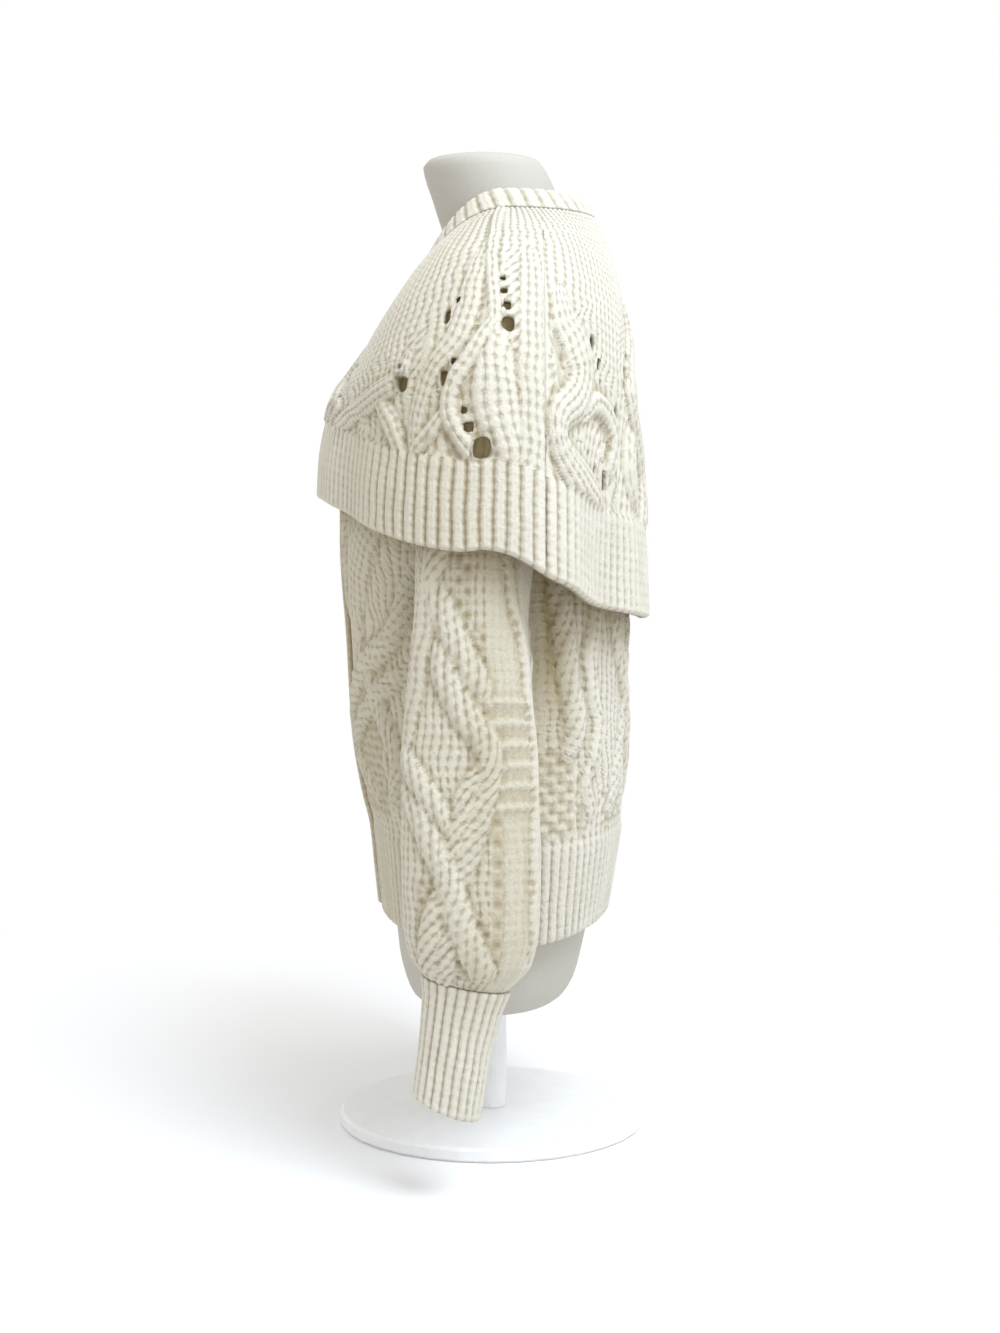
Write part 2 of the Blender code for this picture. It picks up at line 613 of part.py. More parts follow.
def disc(name, radius, thickness, centre, direction, segments, material, edge_width):
    """A round plate with softened edges. centre is its underside's middle."""
    mesh = bmesh.new()
    bmesh.ops.create_cone(
        mesh, cap_ends=True, segments=segments, radius1=radius, radius2=radius, depth=thickness,
    )
    turn = Vector((0, 0, 1)).rotation_difference(Vector(direction)).to_matrix().to_4x4()
    lift = Matrix.Translation((0, 0, thickness / 2))
    bmesh.ops.transform(mesh, matrix=Matrix.Translation(centre) @ turn @ lift, verts=mesh.verts)
    piece = finish_object(name, mesh, material)
    if edge_width:
        edge = piece.modifiers.new("soft edge", "BEVEL")
        edge.width = edge_width
        edge.segments = 1
        edge.limit_method = "ANGLE"
        edge.angle_limit = math.radians(50)
    return piece


def cut_eyelets(panel_object, name, loft, start, end):
    """Cuts the eyelets that lie between two arounds right through a panel."""
    mesh = bmesh.new()
    for row in named_rows(EYELET_COLUMNS, EYELETS):
        for around in (row["around"], 1 - row["around"]):
            if not start < around < end:
                continue
            middle = loft.points(np.array([around]), np.array([row["along"]]))[0]
            ahead = loft.points(np.array([around + 0.002]), np.array([row["along"]]))[0]
            out = Vector(loft.read(loft.normals, around, row["along"])).normalized()
            across = Vector(ahead - middle)
            across = (across - out * across.dot(out)).normalized()
            frame = Matrix((across, out.cross(across), out)).transposed().to_4x4()
            size = Matrix.Diagonal((row["width"] / 2, row["height"] / 2, EYELET_CUT, 1))
            place = Matrix.Translation(middle) @ frame @ size
            bmesh.ops.create_cone(
                mesh, cap_ends=True, segments=EYELET_SEGMENTS, radius1=1, radius2=1, depth=2,
                matrix=place,
            )
    bmesh.ops.recalc_face_normals(mesh, faces=mesh.faces)
    data = bpy.data.meshes.new(name)
    mesh.to_mesh(data)
    mesh.free()
    cutter = bpy.data.objects.new(name, data)
    cutter.hide_render = True
    cutter.display_type = "WIRE"
    cutters.objects.link(cutter)
    cut = panel_object.modifiers.new("eyelets", "BOOLEAN")
    cut.operation = "DIFFERENCE"
    cut.solver = "EXACT"
    cut.object = cutter


def height_at(loft, along):
    """The height of the skin's side there."""
    return float(loft.points(np.array([0.25]), np.array([along]))[0][2])


def along_at(loft, around, height):
    """How far along the skin's line at around has that height."""
    return float(np.interp(height, loft.heights(around), loft.fine_along))


def armhole_reach(along):
    """Half the armhole's opening there, from front to back."""
    share = (height_at(body, along) - ARMHOLE_CENTRE_Z) / ARMHOLE_HALF_HEIGHT
    return ARMHOLE_HALF_DEPTH * math.sqrt(max(0.0, 1 - share**2))


def side_edge(along, side):
    """Where a front (side -1) or the back (side 1) ends: at the side seam or the armhole."""
    reach = max(armhole_reach(along), SEAM_GAP / 2)
    return body.around_at_y(ARMHOLE_CENTRE_Y + side * reach, along)


def body_relief(around, along):
    """Diamond cables, fading out round the armholes, where the sleeves are sewn on."""
    points = body.points(around, along)
    away = np.hypot(
        (points[:, 1] - ARMHOLE_CENTRE_Y) / ARMHOLE_HALF_DEPTH,
        (points[:, 2] - ARMHOLE_CENTRE_Z) / ARMHOLE_HALF_HEIGHT,
    )
    return body_diamonds(around, along) * smooth_step((away - RELIEF_START) / RELIEF_FADE)


def band(name, edges, base, columns, rise, last):
    """A front band that lies base above the body's skin, with lengthwise ribs."""
    alongs = [v for v in body_rib_rows + body_rows if v < last] + [last]
    outer, inner = [], []
    for along in alongs:
        ends = [body.around_at_x(x, along) for x in edges]
        around = np.linspace(*ends, columns + 1)
        rises = base + BODY_WALL + rib_rises(columns // 2, rise)
        outer.append(Row(body, along, around, rises))
        around = np.linspace(*ends, 3)
        inner.append(Row(body, along, around, np.full(3, base)))
    return wall_object(name, outer, inner, wool)


def fit_to_body(row, inwards):
    """Lays a ring of points on the body's side, round the armhole."""
    points = row.points
    middle = np.array([ARMHOLE_CENTRE_Y, ARMHOLE_CENTRE_Z])
    spread = points[:, 1:] - middle
    length = np.linalg.norm(spread, axis=1, keepdims=True)
    points[:, 1:] = middle + spread * (length - inwards) / length
    for point in points:
        along = along_at(body, 0.25, point[2])
        around = body.around_at_y(point[1], along)
        point[0] = body.points(np.array([around]), np.array([along]))[0][0] + SLEEVE_SEAT


def sleeve_relief(around, along):
    """Diamond cables, with level welts beside the front one."""
    welts = named_rows(WELT_COLUMNS, SLEEVE_WELTS)[0]
    waves = np.sin(np.pi * welts["count"] * (along - welts["low"]) / (welts["high"] - welts["low"]))
    inside = (along > welts["low"]) & (along < welts["high"])
    beside = (around > welts["from"]) & (around < welts["to"])
    ridges = welts["rise"] * waves**2 * inside * beside
    return np.maximum(sleeve_diamonds(around, along), ridges)


def cape_seam(along):
    """Where the capelet's front ends at its shoulder seam."""
    return cape.around_at_y(CAPE_SEAM_Y, along)


def cape_gap(along):
    """Half of a seam's gap, as a share of the ring."""
    return SEAM_GAP / 2 / float(cape.girth_at(along))


def closed_loft(name, loft, alongs, columns, material):
    """A solid skin through rings, with flat ends."""
    mesh = bmesh.new()
    around = np.arange(columns) / columns
    rings = []
    for along in alongs:
        points = loft.points(around, np.full(columns, along))
        rings.append([mesh.verts.new(point) for point in points])
    for low, high in zip(rings[:-1], rings[1:]):
        for k in range(columns):
            after = (k + 1) % columns
            mesh.faces.new((low[k], low[after], high[after], high[k]))
    mesh.faces.new(rings[0])
    mesh.faces.new(rings[-1])
    bmesh.ops.recalc_face_normals(mesh, faces=mesh.faces)
    for face in mesh.faces:
        face.smooth = True
    return finish_object(name, mesh, material)


for old in list(bpy.data.objects):
    bpy.data.objects.remove(old, do_unlink=True)
parts = bpy.data.collections.new("cardigan on dress form")
cutters = bpy.data.collections.new("cutters")
for collection in (parts, cutters):
    bpy.context.scene.collection.children.link(collection)

body = Loft(BODY_RINGS, RING_COLUMNS, level_ring, BODY_FOLDS)
cape = Loft(CAPE_RINGS, RING_COLUMNS, level_ring, CAPE_FOLDS)
neckband = Loft(NECKBAND_RINGS, RING_COLUMNS, level_ring)
form = Loft(FORM_RINGS, RING_COLUMNS, level_ring)
sleeve = Loft(SLEEVE_RINGS, SLEEVE_COLUMNS, sleeve_ring)
cuff = Loft(CUFF_RINGS, SLEEVE_COLUMNS, sleeve_ring)
body_diamonds = diamond_relief(body, BODY_DIAMONDS)
sleeve_diamonds = diamond_relief(sleeve, SLEEVE_DIAMONDS, mirrored=False)
cape_relief = strand_relief(cape, CAPE_STRANDS)

wool = new_material("cream wool", CREAM, 0.90)
cover = new_material("form cover", FORM_GREY, 0.80)
paint = new_material("stand paint", STAND_WHITE, 0.45)

# Body: a back and two fronts, each knitted in one with its ribbed hem.
body_rib_rows = [0.0, body.place("rib top")]
arm_low = along_at(body, 0.25, ARMHOLE_CENTRE_Z - ARMHOLE_HALF_HEIGHT)
arm_high = along_at(body, 0.25, ARMHOLE_CENTRE_Z + ARMHOLE_HALF_HEIGHT)
body_rows = [
    *np.linspace(body.place("rib top") + BODY_RIB_TURN, arm_low, 14),
    *np.linspace(arm_low, arm_high, 8)[1:],
    *np.linspace(arm_high, 1, 6)[1:],
]
front_edge = UNDER_BAND_EDGES[1] + SEAM_GAP
hem_ribs = body.girth(0.0) / BODY_RIB_PITCH
front_ribs = round(hem_ribs * (side_edge(0.0, -1) - body.around_at_x(front_edge, 0.0)))
back_ribs = round(hem_ribs * (1 - 2 * side_edge(0.0, 1)))
panel(
    "back", body, BODY_WALL, lambda v: side_edge(v, 1), lambda v: 1 - side_edge(v, 1),
    body_rib_rows, back_ribs, body_rows, BACK_COLUMNS, body_relief, wool,
)
front_left = panel(
    "front_left", body, BODY_WALL, lambda v: body.around_at_x(front_edge, v),
    lambda v: side_edge(v, -1), body_rib_rows, front_ribs, body_rows, FRONT_COLUMNS, body_relief,
    wool, flat_columns=FLAT_RIBS,
)
mirrored(front_left, "front_right")

# Front bands: plain below, lengthwise ribs above.
band("front_band_under", UNDER_BAND_EDGES, -BODY_WALL, 2, 0.0, 1.0)
band("front_band_top", TOP_BAND_EDGES, TOP_BAND_BASE, 2 * TOP_BAND_RIBS, BAND_RISE, TOP_BAND_END)

# Sleeves: each ends in a flat lap round the armhole.
sleeve_rows = [
    0.0, 0.03, 0.07, 0.12, 0.17, 0.22, 0.27, 0.32, 0.36, 0.40, 0.44, 0.48, 0.51,
    *np.linspace(0.54, 0.71, 13),
    *np.linspace(0.71, 1.0, 9)[1:],
]
inner_columns = SLEEVE_COLUMNS_ROUND // 2
sleeve_outer = tube_rows(sleeve, sleeve_rows, SLEEVE_COLUMNS_ROUND, sleeve_relief)
sleeve_inner = tube_rows(
    sleeve, sleeve_rows[::2], inner_columns, lambda around, along: np.full(len(around), -SLEEVE_WALL),
)
for rows in (sleeve_outer, sleeve_inner):
    around = np.linspace(0, 1, ARMHOLE_COLUMNS + 1)
    rows[0] = Row(sleeve, 0.0, around, np.zeros(len(around)))
fit_to_body(sleeve_outer[0], 0.0)
fit_to_body(sleeve_inner[0], SLEEVE_WALL)
sleeve_left = wall_object("sleeve_left", sleeve_outer, sleeve_inner, wool, closed=True)
mirrored(sleeve_left, "sleeve_right")

cuff_rows = (0.0, 0.5, 1.0)
cuff_ribs = round(cuff.girth(0.0) / CUFF_RIB_PITCH)
cuff_outer = tube_rows(
    cuff, cuff_rows, 2 * cuff_ribs, lambda around, along: rib_rises(cuff_ribs, CUFF_RIB_RISE),
)
cuff_inner = tube_rows(
    cuff, cuff_rows, CUFF_INNER_COLUMNS, lambda around, along: np.full(len(around), -CUFF_WALL),
)
cuff_left = wall_object("cuff_left", cuff_outer, cuff_inner, wool, closed=True)
mirrored(cuff_left, "cuff_right")

# Capelet: a back and two fronts, each knitted in one with its deep ribbed hem.
cape_rib_rows = [1.0, cape.place("rib middle"), cape.place("rib top")]
cape_rows = list(np.linspace(cape.place("rib top") - CAPE_RIB_TURN, 0.0, 15))
cape_ribs = round(cape.girth(1.0) / CAPE_RIB_PITCH)
cape_back_share = 1 - 2 * cape_seam(1.0)
cape_back = panel(
    "cape_back", cape, CAPE_WALL, lambda v: cape_seam(v) + cape_gap(v),
    lambda v: 1 - cape_seam(v) - cape_gap(v), cape_rib_rows, round(cape_ribs * cape_back_share),
    cape_rows, CAPE_BACK_COLUMNS, cape_relief, wool,
)
cape_front = panel(
    "cape_front_left", cape, CAPE_WALL, lambda v: cape.around_at_x(CENTRE_GAP / 2, v),
    lambda v: cape_seam(v) - cape_gap(v), cape_rib_rows,
    round(cape_ribs * (1 - cape_back_share) / 2), cape_rows, CAPE_FRONT_COLUMNS, cape_relief, wool,
)
cape_front_right = mirrored(cape_front, "cape_front_right")
seam = cape_seam(0.6)
cut_eyelets(cape_back, "back_eyelets", cape, seam, 1 - seam)
cut_eyelets(cape_front, "left_eyelets", cape, 0, seam)
cut_eyelets(cape_front_right, "right_eyelets", cape, 1 - seam, 1)

# Neckband: short ribs round the neck, open at the centre front.
neck_ribs = round(neckband.girth(0.5) / NECK_RIB_PITCH)
neck_start = neckband.around_at_x(CENTRE_GAP / 2, 0.5)
neck_outer, neck_inner = [], []
for along in (0.0, 0.5, 1.0):
    around = np.linspace(neck_start, 1 - neck_start, 2 * neck_ribs + 1)
    neck_outer.append(Row(neckband, along, around, rib_rises(neck_ribs, NECK_RIB_RISE)))
    around = np.linspace(neck_start, 1 - neck_start, NECK_INNER_COLUMNS + 1)
    neck_inner.append(Row(neckband, along, around, np.full(len(around), -BODY_WALL)))
wall_object("neckband", neck_outer, neck_inner, wool)

# Dress form and its stand.
closed_loft("form_torso", form, form.places, FORM_COLUMNS, cover)
up = (0, 0, 1)
flange_bottom = FORM_BOTTOM_Z - SEAM_GAP - FLANGE_THICKNESS
disc("form_flange", FLANGE_RADIUS, FLANGE_THICKNESS, (0, 0, flange_bottom), up, 24, paint, 0)
pole_bottom = FOOT_THICKNESS + SEAM_GAP
pole_length = flange_bottom - SEAM_GAP - pole_bottom
disc("form_pole", POLE_RADIUS, pole_length, (0, 0, pole_bottom), up, 20, paint, 0)
disc("form_foot", FOOT_RADIUS, FOOT_THICKNESS, (0, 0, 0), up, 32, paint, FOOT_EDGE)
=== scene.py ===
import math

import bpy
import numpy as np
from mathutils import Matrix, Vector


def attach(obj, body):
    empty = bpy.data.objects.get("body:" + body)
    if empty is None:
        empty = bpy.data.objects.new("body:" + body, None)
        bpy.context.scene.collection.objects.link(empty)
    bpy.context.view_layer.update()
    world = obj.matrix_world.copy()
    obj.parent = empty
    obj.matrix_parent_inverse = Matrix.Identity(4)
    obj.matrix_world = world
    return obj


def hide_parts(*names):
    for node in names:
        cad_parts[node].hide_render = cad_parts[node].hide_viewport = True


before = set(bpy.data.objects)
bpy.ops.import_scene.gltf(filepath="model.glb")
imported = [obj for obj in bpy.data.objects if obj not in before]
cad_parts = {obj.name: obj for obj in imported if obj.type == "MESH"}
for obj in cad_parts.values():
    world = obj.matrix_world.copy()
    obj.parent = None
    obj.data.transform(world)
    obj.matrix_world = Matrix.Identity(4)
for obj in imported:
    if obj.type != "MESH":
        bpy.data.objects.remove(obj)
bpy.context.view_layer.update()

# Metres. The wearer faces -Y and the wearer's left is +X. A place on a skin is (around, along):
# around is 0 at the centre front, 0.25 at the wearer's left and 0.5 at the back, and along runs
# from 0 at the skin's first ring to 1 at its last. backBend is 2 where a ring doesn't give it.
ringColumns = ("zFront", "zSide", "zBack", "yFront", "yBack", "halfWidth", "squareness", "backBend")
bodyRings = {
    "hem": (0.189, 0.178, 0.192, -0.0905, 0.097, 0.158, 2.3),
    "rib middle": (0.222, 0.213, 0.223, -0.094, 0.102, 0.161, 2.3),
    "rib top": (0.256, 0.248, 0.255, -0.0975, 0.107, 0.164, 2.3),
    "blouse": (0.286, 0.282, 0.286, -0.1045, 0.11, 0.169, 2.35),
    "waist": (0.335, 0.335, 0.335, -0.1125, 0.111, 0.17, 2.35),
    "ribcage": (0.415, 0.415, 0.415, -0.117, 0.1115, 0.169, 2.35),
    "bust": (0.495, 0.495, 0.495, -0.122, 0.1095, 0.168, 2.35),
    "underarm": (0.545, 0.545, 0.545, -0.1215, 0.106, 0.168, 2.4),
    "chest": (0.6, 0.6, 0.6, -0.104, 0.101, 0.168, 2.45),
    "upper chest": (0.65, 0.65, 0.65, -0.082, 0.096, 0.168, 2.4),
    "shoulder tip": (0.696, 0.696, 0.696, -0.0585, 0.09, 0.163, 2.3),
    "shoulder": (0.706, 0.723, 0.723, -0.0535, 0.086, 0.133, 2.2),
    "shoulder top": (0.709, 0.741, 0.742, -0.052, 0.0835, 0.103, 2.1),
    "neck seam": (0.713, 0.754, 0.756, -0.05, 0.081, 0.078, 2.0),
}
capeRings = {
    "neck seam": (0.718, 0.76, 0.762, -0.0595, 0.0875, 0.085, 2.0, 2.0),
    "collar bone": (0.702, 0.748, 0.74, -0.072, 0.0965, 0.118, 2.1, 2.0),
    "shoulder": (0.677, 0.727, 0.706, -0.0865, 0.1055, 0.164, 2.2, 2.0),
    "shoulder tip": (0.654, 0.703, 0.673, -0.1005, 0.111, 0.198, 2.2, 1.9),
    "upper arm": (0.631, 0.666, 0.633, -0.114, 0.115, 0.228, 2.15, 1.7),
    "arm": (0.611, 0.621, 0.585, -0.127, 0.119, 0.248, 2.1, 1.4),
    "rib top": (0.59, 0.545, 0.498, -0.1355, 0.126, 0.26, 2.05, 1.15),
    "rib middle": (0.563, 0.516, 0.467, -0.14, 0.1275, 0.264, 2.05, 1.05),
    "hem": (0.533, 0.486, 0.431, -0.1415, 0.1285, 0.267, 2.05, 1.0),
}
neckbandRings = {
    "seam": (0.7186, 0.7606, 0.7626, -0.058, 0.086, 0.0835, 2.0),
    "middle": (0.723, 0.771, 0.773, -0.056, 0.0795, 0.077, 2.0),
    "edge": (0.729, 0.778, 0.78, -0.053, 0.073, 0.071, 2.0),
}
formRings = {
    "base": (0.113, 0.113, 0.113, -0.056, 0.051, 0.1, 2.1),
    "base round": (0.117, 0.117, 0.117, -0.0665, 0.061, 0.118, 2.1),
    "base side": (0.132, 0.132, 0.132, -0.0735, 0.0705, 0.132, 2.15),
    "thigh": (0.155, 0.155, 0.155, -0.0785, 0.0765, 0.14, 2.2),
    "hip": (0.205, 0.205, 0.205, -0.082, 0.086, 0.146, 2.2),
    "seat": (0.25, 0.25, 0.25, -0.0815, 0.0915, 0.145, 2.2),
    "high hip": (0.31, 0.31, 0.31, -0.0795, 0.087, 0.133, 2.15),
    "waist": (0.38, 0.38, 0.38, -0.079, 0.08, 0.12, 2.1),
    "ribcage": (0.45, 0.45, 0.45, -0.093, 0.085, 0.132, 2.15),
    "bust": (0.515, 0.515, 0.515, -0.11, 0.0905, 0.146, 2.2),
    "chest": (0.565, 0.565, 0.565, -0.104, 0.093, 0.152, 2.25),
    "upper chest": (0.62, 0.62, 0.62, -0.083, 0.0905, 0.154, 2.3),
    "armpit top": (0.66, 0.66, 0.66, -0.066, 0.0865, 0.1535, 2.3),
    "shoulder tip": (0.686, 0.688, 0.688, -0.052, 0.079, 0.1525, 2.2),
    "shoulder": (0.698, 0.7175, 0.715, -0.0445, 0.074, 0.1285, 2.1),
    "neck root": (0.7025, 0.7355, 0.735, -0.043, 0.072, 0.0985, 2.05),
    "neck base": (0.7085, 0.748, 0.749, -0.041, 0.068, 0.073, 2.0),
    "neck low": (0.738, 0.764, 0.768, -0.038, 0.06, 0.058, 2.0),
    "neck": (0.772, 0.78, 0.785, -0.047, 0.054, 0.0525, 2.0),
    "neck rim": (0.807, 0.807, 0.807, -0.0572, 0.043, 0.0505, 2.0),
    "neck cap": (0.811, 0.811, 0.811, -0.0535, 0.0395, 0.047, 2.0),
}
# A sleeve's inner and outer line seen from the front, its front and back seen from the side, and
# how much higher its front is than its back.
sleeveColumns = ("innerX", "innerZ", "outerX", "outerZ", "yFront", "yBack", "rise", "squareness")
sleeveRings = {
    "armhole": (0.174, 0.5475, 0.174, 0.6805, -0.0475, 0.0595, 0.0, 2.0),
    "sleeve head": (0.1785, 0.535, 0.199, 0.673, -0.052, 0.058, 0.0, 2.15),
    "cap": (0.18, 0.52, 0.221, 0.643, -0.054, 0.05, 0.0, 2.2),
    "under cape": (0.1805, 0.5, 0.2385, 0.595, -0.0545, 0.04, 0.0, 2.25),
    "cape hem": (0.1805, 0.472, 0.244, 0.525, -0.055, 0.03, 0.0, 2.3),
    "upper arm": (0.1805, 0.435, 0.247, 0.462, -0.056, 0.0255, 0.0, 2.3),
    "elbow": (0.181, 0.382, 0.251, 0.392, -0.06, 0.0305, 0.0, 2.3),
    "forearm": (0.1815, 0.317, 0.256, 0.319, -0.065, 0.035, 0.0, 2.3),
    "balloon": (0.181, 0.256, 0.259, 0.256, -0.066, 0.0375, 0.002, 2.3),
    "balloon low": (0.1795, 0.212, 0.258, 0.212, -0.065, 0.0365, 0.004, 2.25),
    "gather": (0.1835, 0.184, 0.2525, 0.184, -0.061, 0.031, 0.008, 2.15),
    "cuff seam": (0.1905, 0.165, 0.2425, 0.165, -0.0495, 0.013, 0.012, 2.05),
}
cuffRings = {
    "cuff seam": (0.1915, 0.1647, 0.2415, 0.1647, -0.0485, 0.012, 0.012, 2.0),
    "cuff middle": (0.193, 0.118, 0.243, 0.118, -0.0515, -0.002, 0.018, 2.0),
    "cuff edge": (0.1935, 0.071, 0.244, 0.071, -0.0575, -0.0095, 0.019, 2.0),
}

# Soft folds: middle, half width, depth at the last ring and the along where each starts.
foldColumns = ("around", "halfWidth", "depth", "start")
capeFolds = (
    (0.355, 0.055, -0.013, 0.35),
    (0.29, 0.04, 0.004, 0.45),
    (0.135, 0.045, -0.005, 0.45),
    (0.06, 0.035, 0.002, 0.55),
    (0.435, 0.045, 0.002, 0.45),
)
bodyFolds = (
    (0.3, 0.035, -0.005, 0.35),
    (0.36, 0.03, 0.0025, 0.45),
    (0.42, 0.03, -0.0025, 0.5),
    (0.13, 0.035, -0.0035, 0.45),
)

# Strands of the cables. A strand's path is a list of (around, along, half width, lift); lift
# multiplies its rise, so that one strand dips under another. columns counts the knit columns
# across it, and 0 keeps them as wide as the ground's. A rope's slanted lobes are rope long.
capeStrands = {
    "back wave": {"rise": 0.0052, "columns": 5, "path": (
        (0.3, 0.395, 0.007, 0.3), (0.305, 0.46, 0.014, 0.8), (0.319, 0.52, 0.019, 1.0),
        (0.323, 0.565, 0.019, 1.0), (0.316, 0.612, 0.015, 1.2), (0.299, 0.66, 0.011, 1.3),
        (0.296, 0.705, 0.01, 1.2), (0.306, 0.748, 0.014, 1.1), (0.328, 0.778, 0.018, 1.0),
        (0.35, 0.8, 0.018, 0.9), (0.362, 0.85, 0.014, 0.5))},
    "back leaf": {"rise": 0.005, "columns": 2, "path": (
        (0.326, 0.64, 0.005, 0.5), (0.341, 0.606, 0.008, 0.9), (0.362, 0.612, 0.01, 1.0),
        (0.374, 0.655, 0.01, 1.0), (0.37, 0.705, 0.008, 0.7))},
    "shoulder leaf edge": {"rise": 0.0046, "columns": 2, "path": (
        (0.252, 0.5, 0.004, 0.5), (0.247, 0.535, 0.006, 0.9), (0.238, 0.59, 0.007, 1.0),
        (0.23, 0.64, 0.007, 1.1), (0.2275, 0.69, 0.007, 1.1), (0.233, 0.735, 0.007, 1.0),
        (0.243, 0.78, 0.007, 1.0), (0.249, 0.83, 0.006, 0.6))},
    "shoulder leaf": {"rise": 0.005, "columns": 0, "path": (
        (0.257, 0.525, 0.006, 0.4), (0.255, 0.59, 0.015, 0.9), (0.255, 0.66, 0.019, 1.0),
        (0.259, 0.72, 0.016, 1.0), (0.264, 0.78, 0.009, 0.7))},
    "shoulder column": {"rise": 0.003, "columns": 2, "path": (
        (0.246, 0.06, 0.005, 0.8), (0.2465, 0.3, 0.005, 1.0), (0.251, 0.435, 0.005, 1.0),
        (0.254, 0.53, 0.005, 0.7))},
    "side band": {"rise": 0.0014, "columns": 3, "path": (
        (0.277, 0.34, 0.009, 0.5), (0.277, 0.5, 0.01, 1.0), (0.278, 0.68, 0.011, 1.0),
        (0.277, 0.83, 0.011, 0.8))},
    "front column": {"rise": 0.0024, "columns": 3, "path": (
        (0.238, 0.33, 0.006, 0.5), (0.236, 0.42, 0.009, 1.0), (0.232, 0.52, 0.01, 1.0),
        (0.217, 0.6, 0.008, 0.8), (0.207, 0.68, 0.007, 0.7), (0.205, 0.76, 0.006, 0.6))},
    "apex left": {"rise": 0.004, "columns": 2, "path": (
        (0.226, 0.69, 0.004, 0.6), (0.217, 0.735, 0.006, 1.0), (0.208, 0.78, 0.006, 1.0),
        (0.204, 0.835, 0.005, 0.6))},
    "front wave": {"rise": 0.005, "columns": 4, "path": (
        (0.196, 0.56, 0.005, 0.4), (0.187, 0.622, 0.01, 0.9), (0.16, 0.665, 0.014, 1.0),
        (0.124, 0.722, 0.015, 1.0), (0.104, 0.785, 0.013, 1.0), (0.098, 0.85, 0.01, 0.5))},
    "front leaf": {"rise": 0.0042, "columns": 0, "path": (
        (0.168, 0.66, 0.006, 0.6), (0.181, 0.715, 0.011, 1.0), (0.192, 0.775, 0.009, 0.8),
        (0.196, 0.83, 0.006, 0.4))},
    "front inner": {"rise": 0.0038, "columns": 4, "path": (
        (0.15, 0.72, 0.008, 0.6), (0.15, 0.765, 0.013, 1.0), (0.146, 0.815, 0.012, 0.6))},
    "centre wave": {"rise": 0.005, "columns": 5, "path": (
        (0.44, 0.3, 0.008, 0.4), (0.446, 0.385, 0.013, 1.0), (0.428, 0.485, 0.017, 1.0),
        (0.418, 0.545, 0.016, 1.1), (0.438, 0.64, 0.012, 1.3), (0.448, 0.7, 0.013, 1.1),
        (0.44, 0.78, 0.017, 1.0), (0.426, 0.85, 0.012, 0.5))},
    "centre leaf": {"rise": 0.0046, "columns": 0, "path": (
        (0.425, 0.64, 0.006, 0.5), (0.408, 0.65, 0.013, 0.9), (0.402, 0.7, 0.015, 1.0),
        (0.414, 0.745, 0.009, 0.5))},
    "middle wave": {"rise": 0.0046, "columns": 4, "path": (
        (0.488, 0.36, 0.006, 0.4), (0.482, 0.47, 0.012, 1.0), (0.49, 0.57, 0.013, 1.0),
        (0.478, 0.68, 0.013, 1.0), (0.488, 0.79, 0.012, 0.8), (0.486, 0.86, 0.008, 0.4))},
    "chest wave": {"rise": 0.005, "columns": 4, "path": (
        (0.068, 0.42, 0.007, 0.4), (0.052, 0.53, 0.013, 1.0), (0.07, 0.64, 0.012, 1.2),
        (0.048, 0.745, 0.015, 1.0), (0.058, 0.85, 0.01, 0.5))},
    "chest leaf": {"rise": 0.0042, "columns": 0, "path": (
        (0.082, 0.63, 0.005, 0.5), (0.096, 0.69, 0.011, 1.0), (0.08, 0.77, 0.01, 0.8))},
}
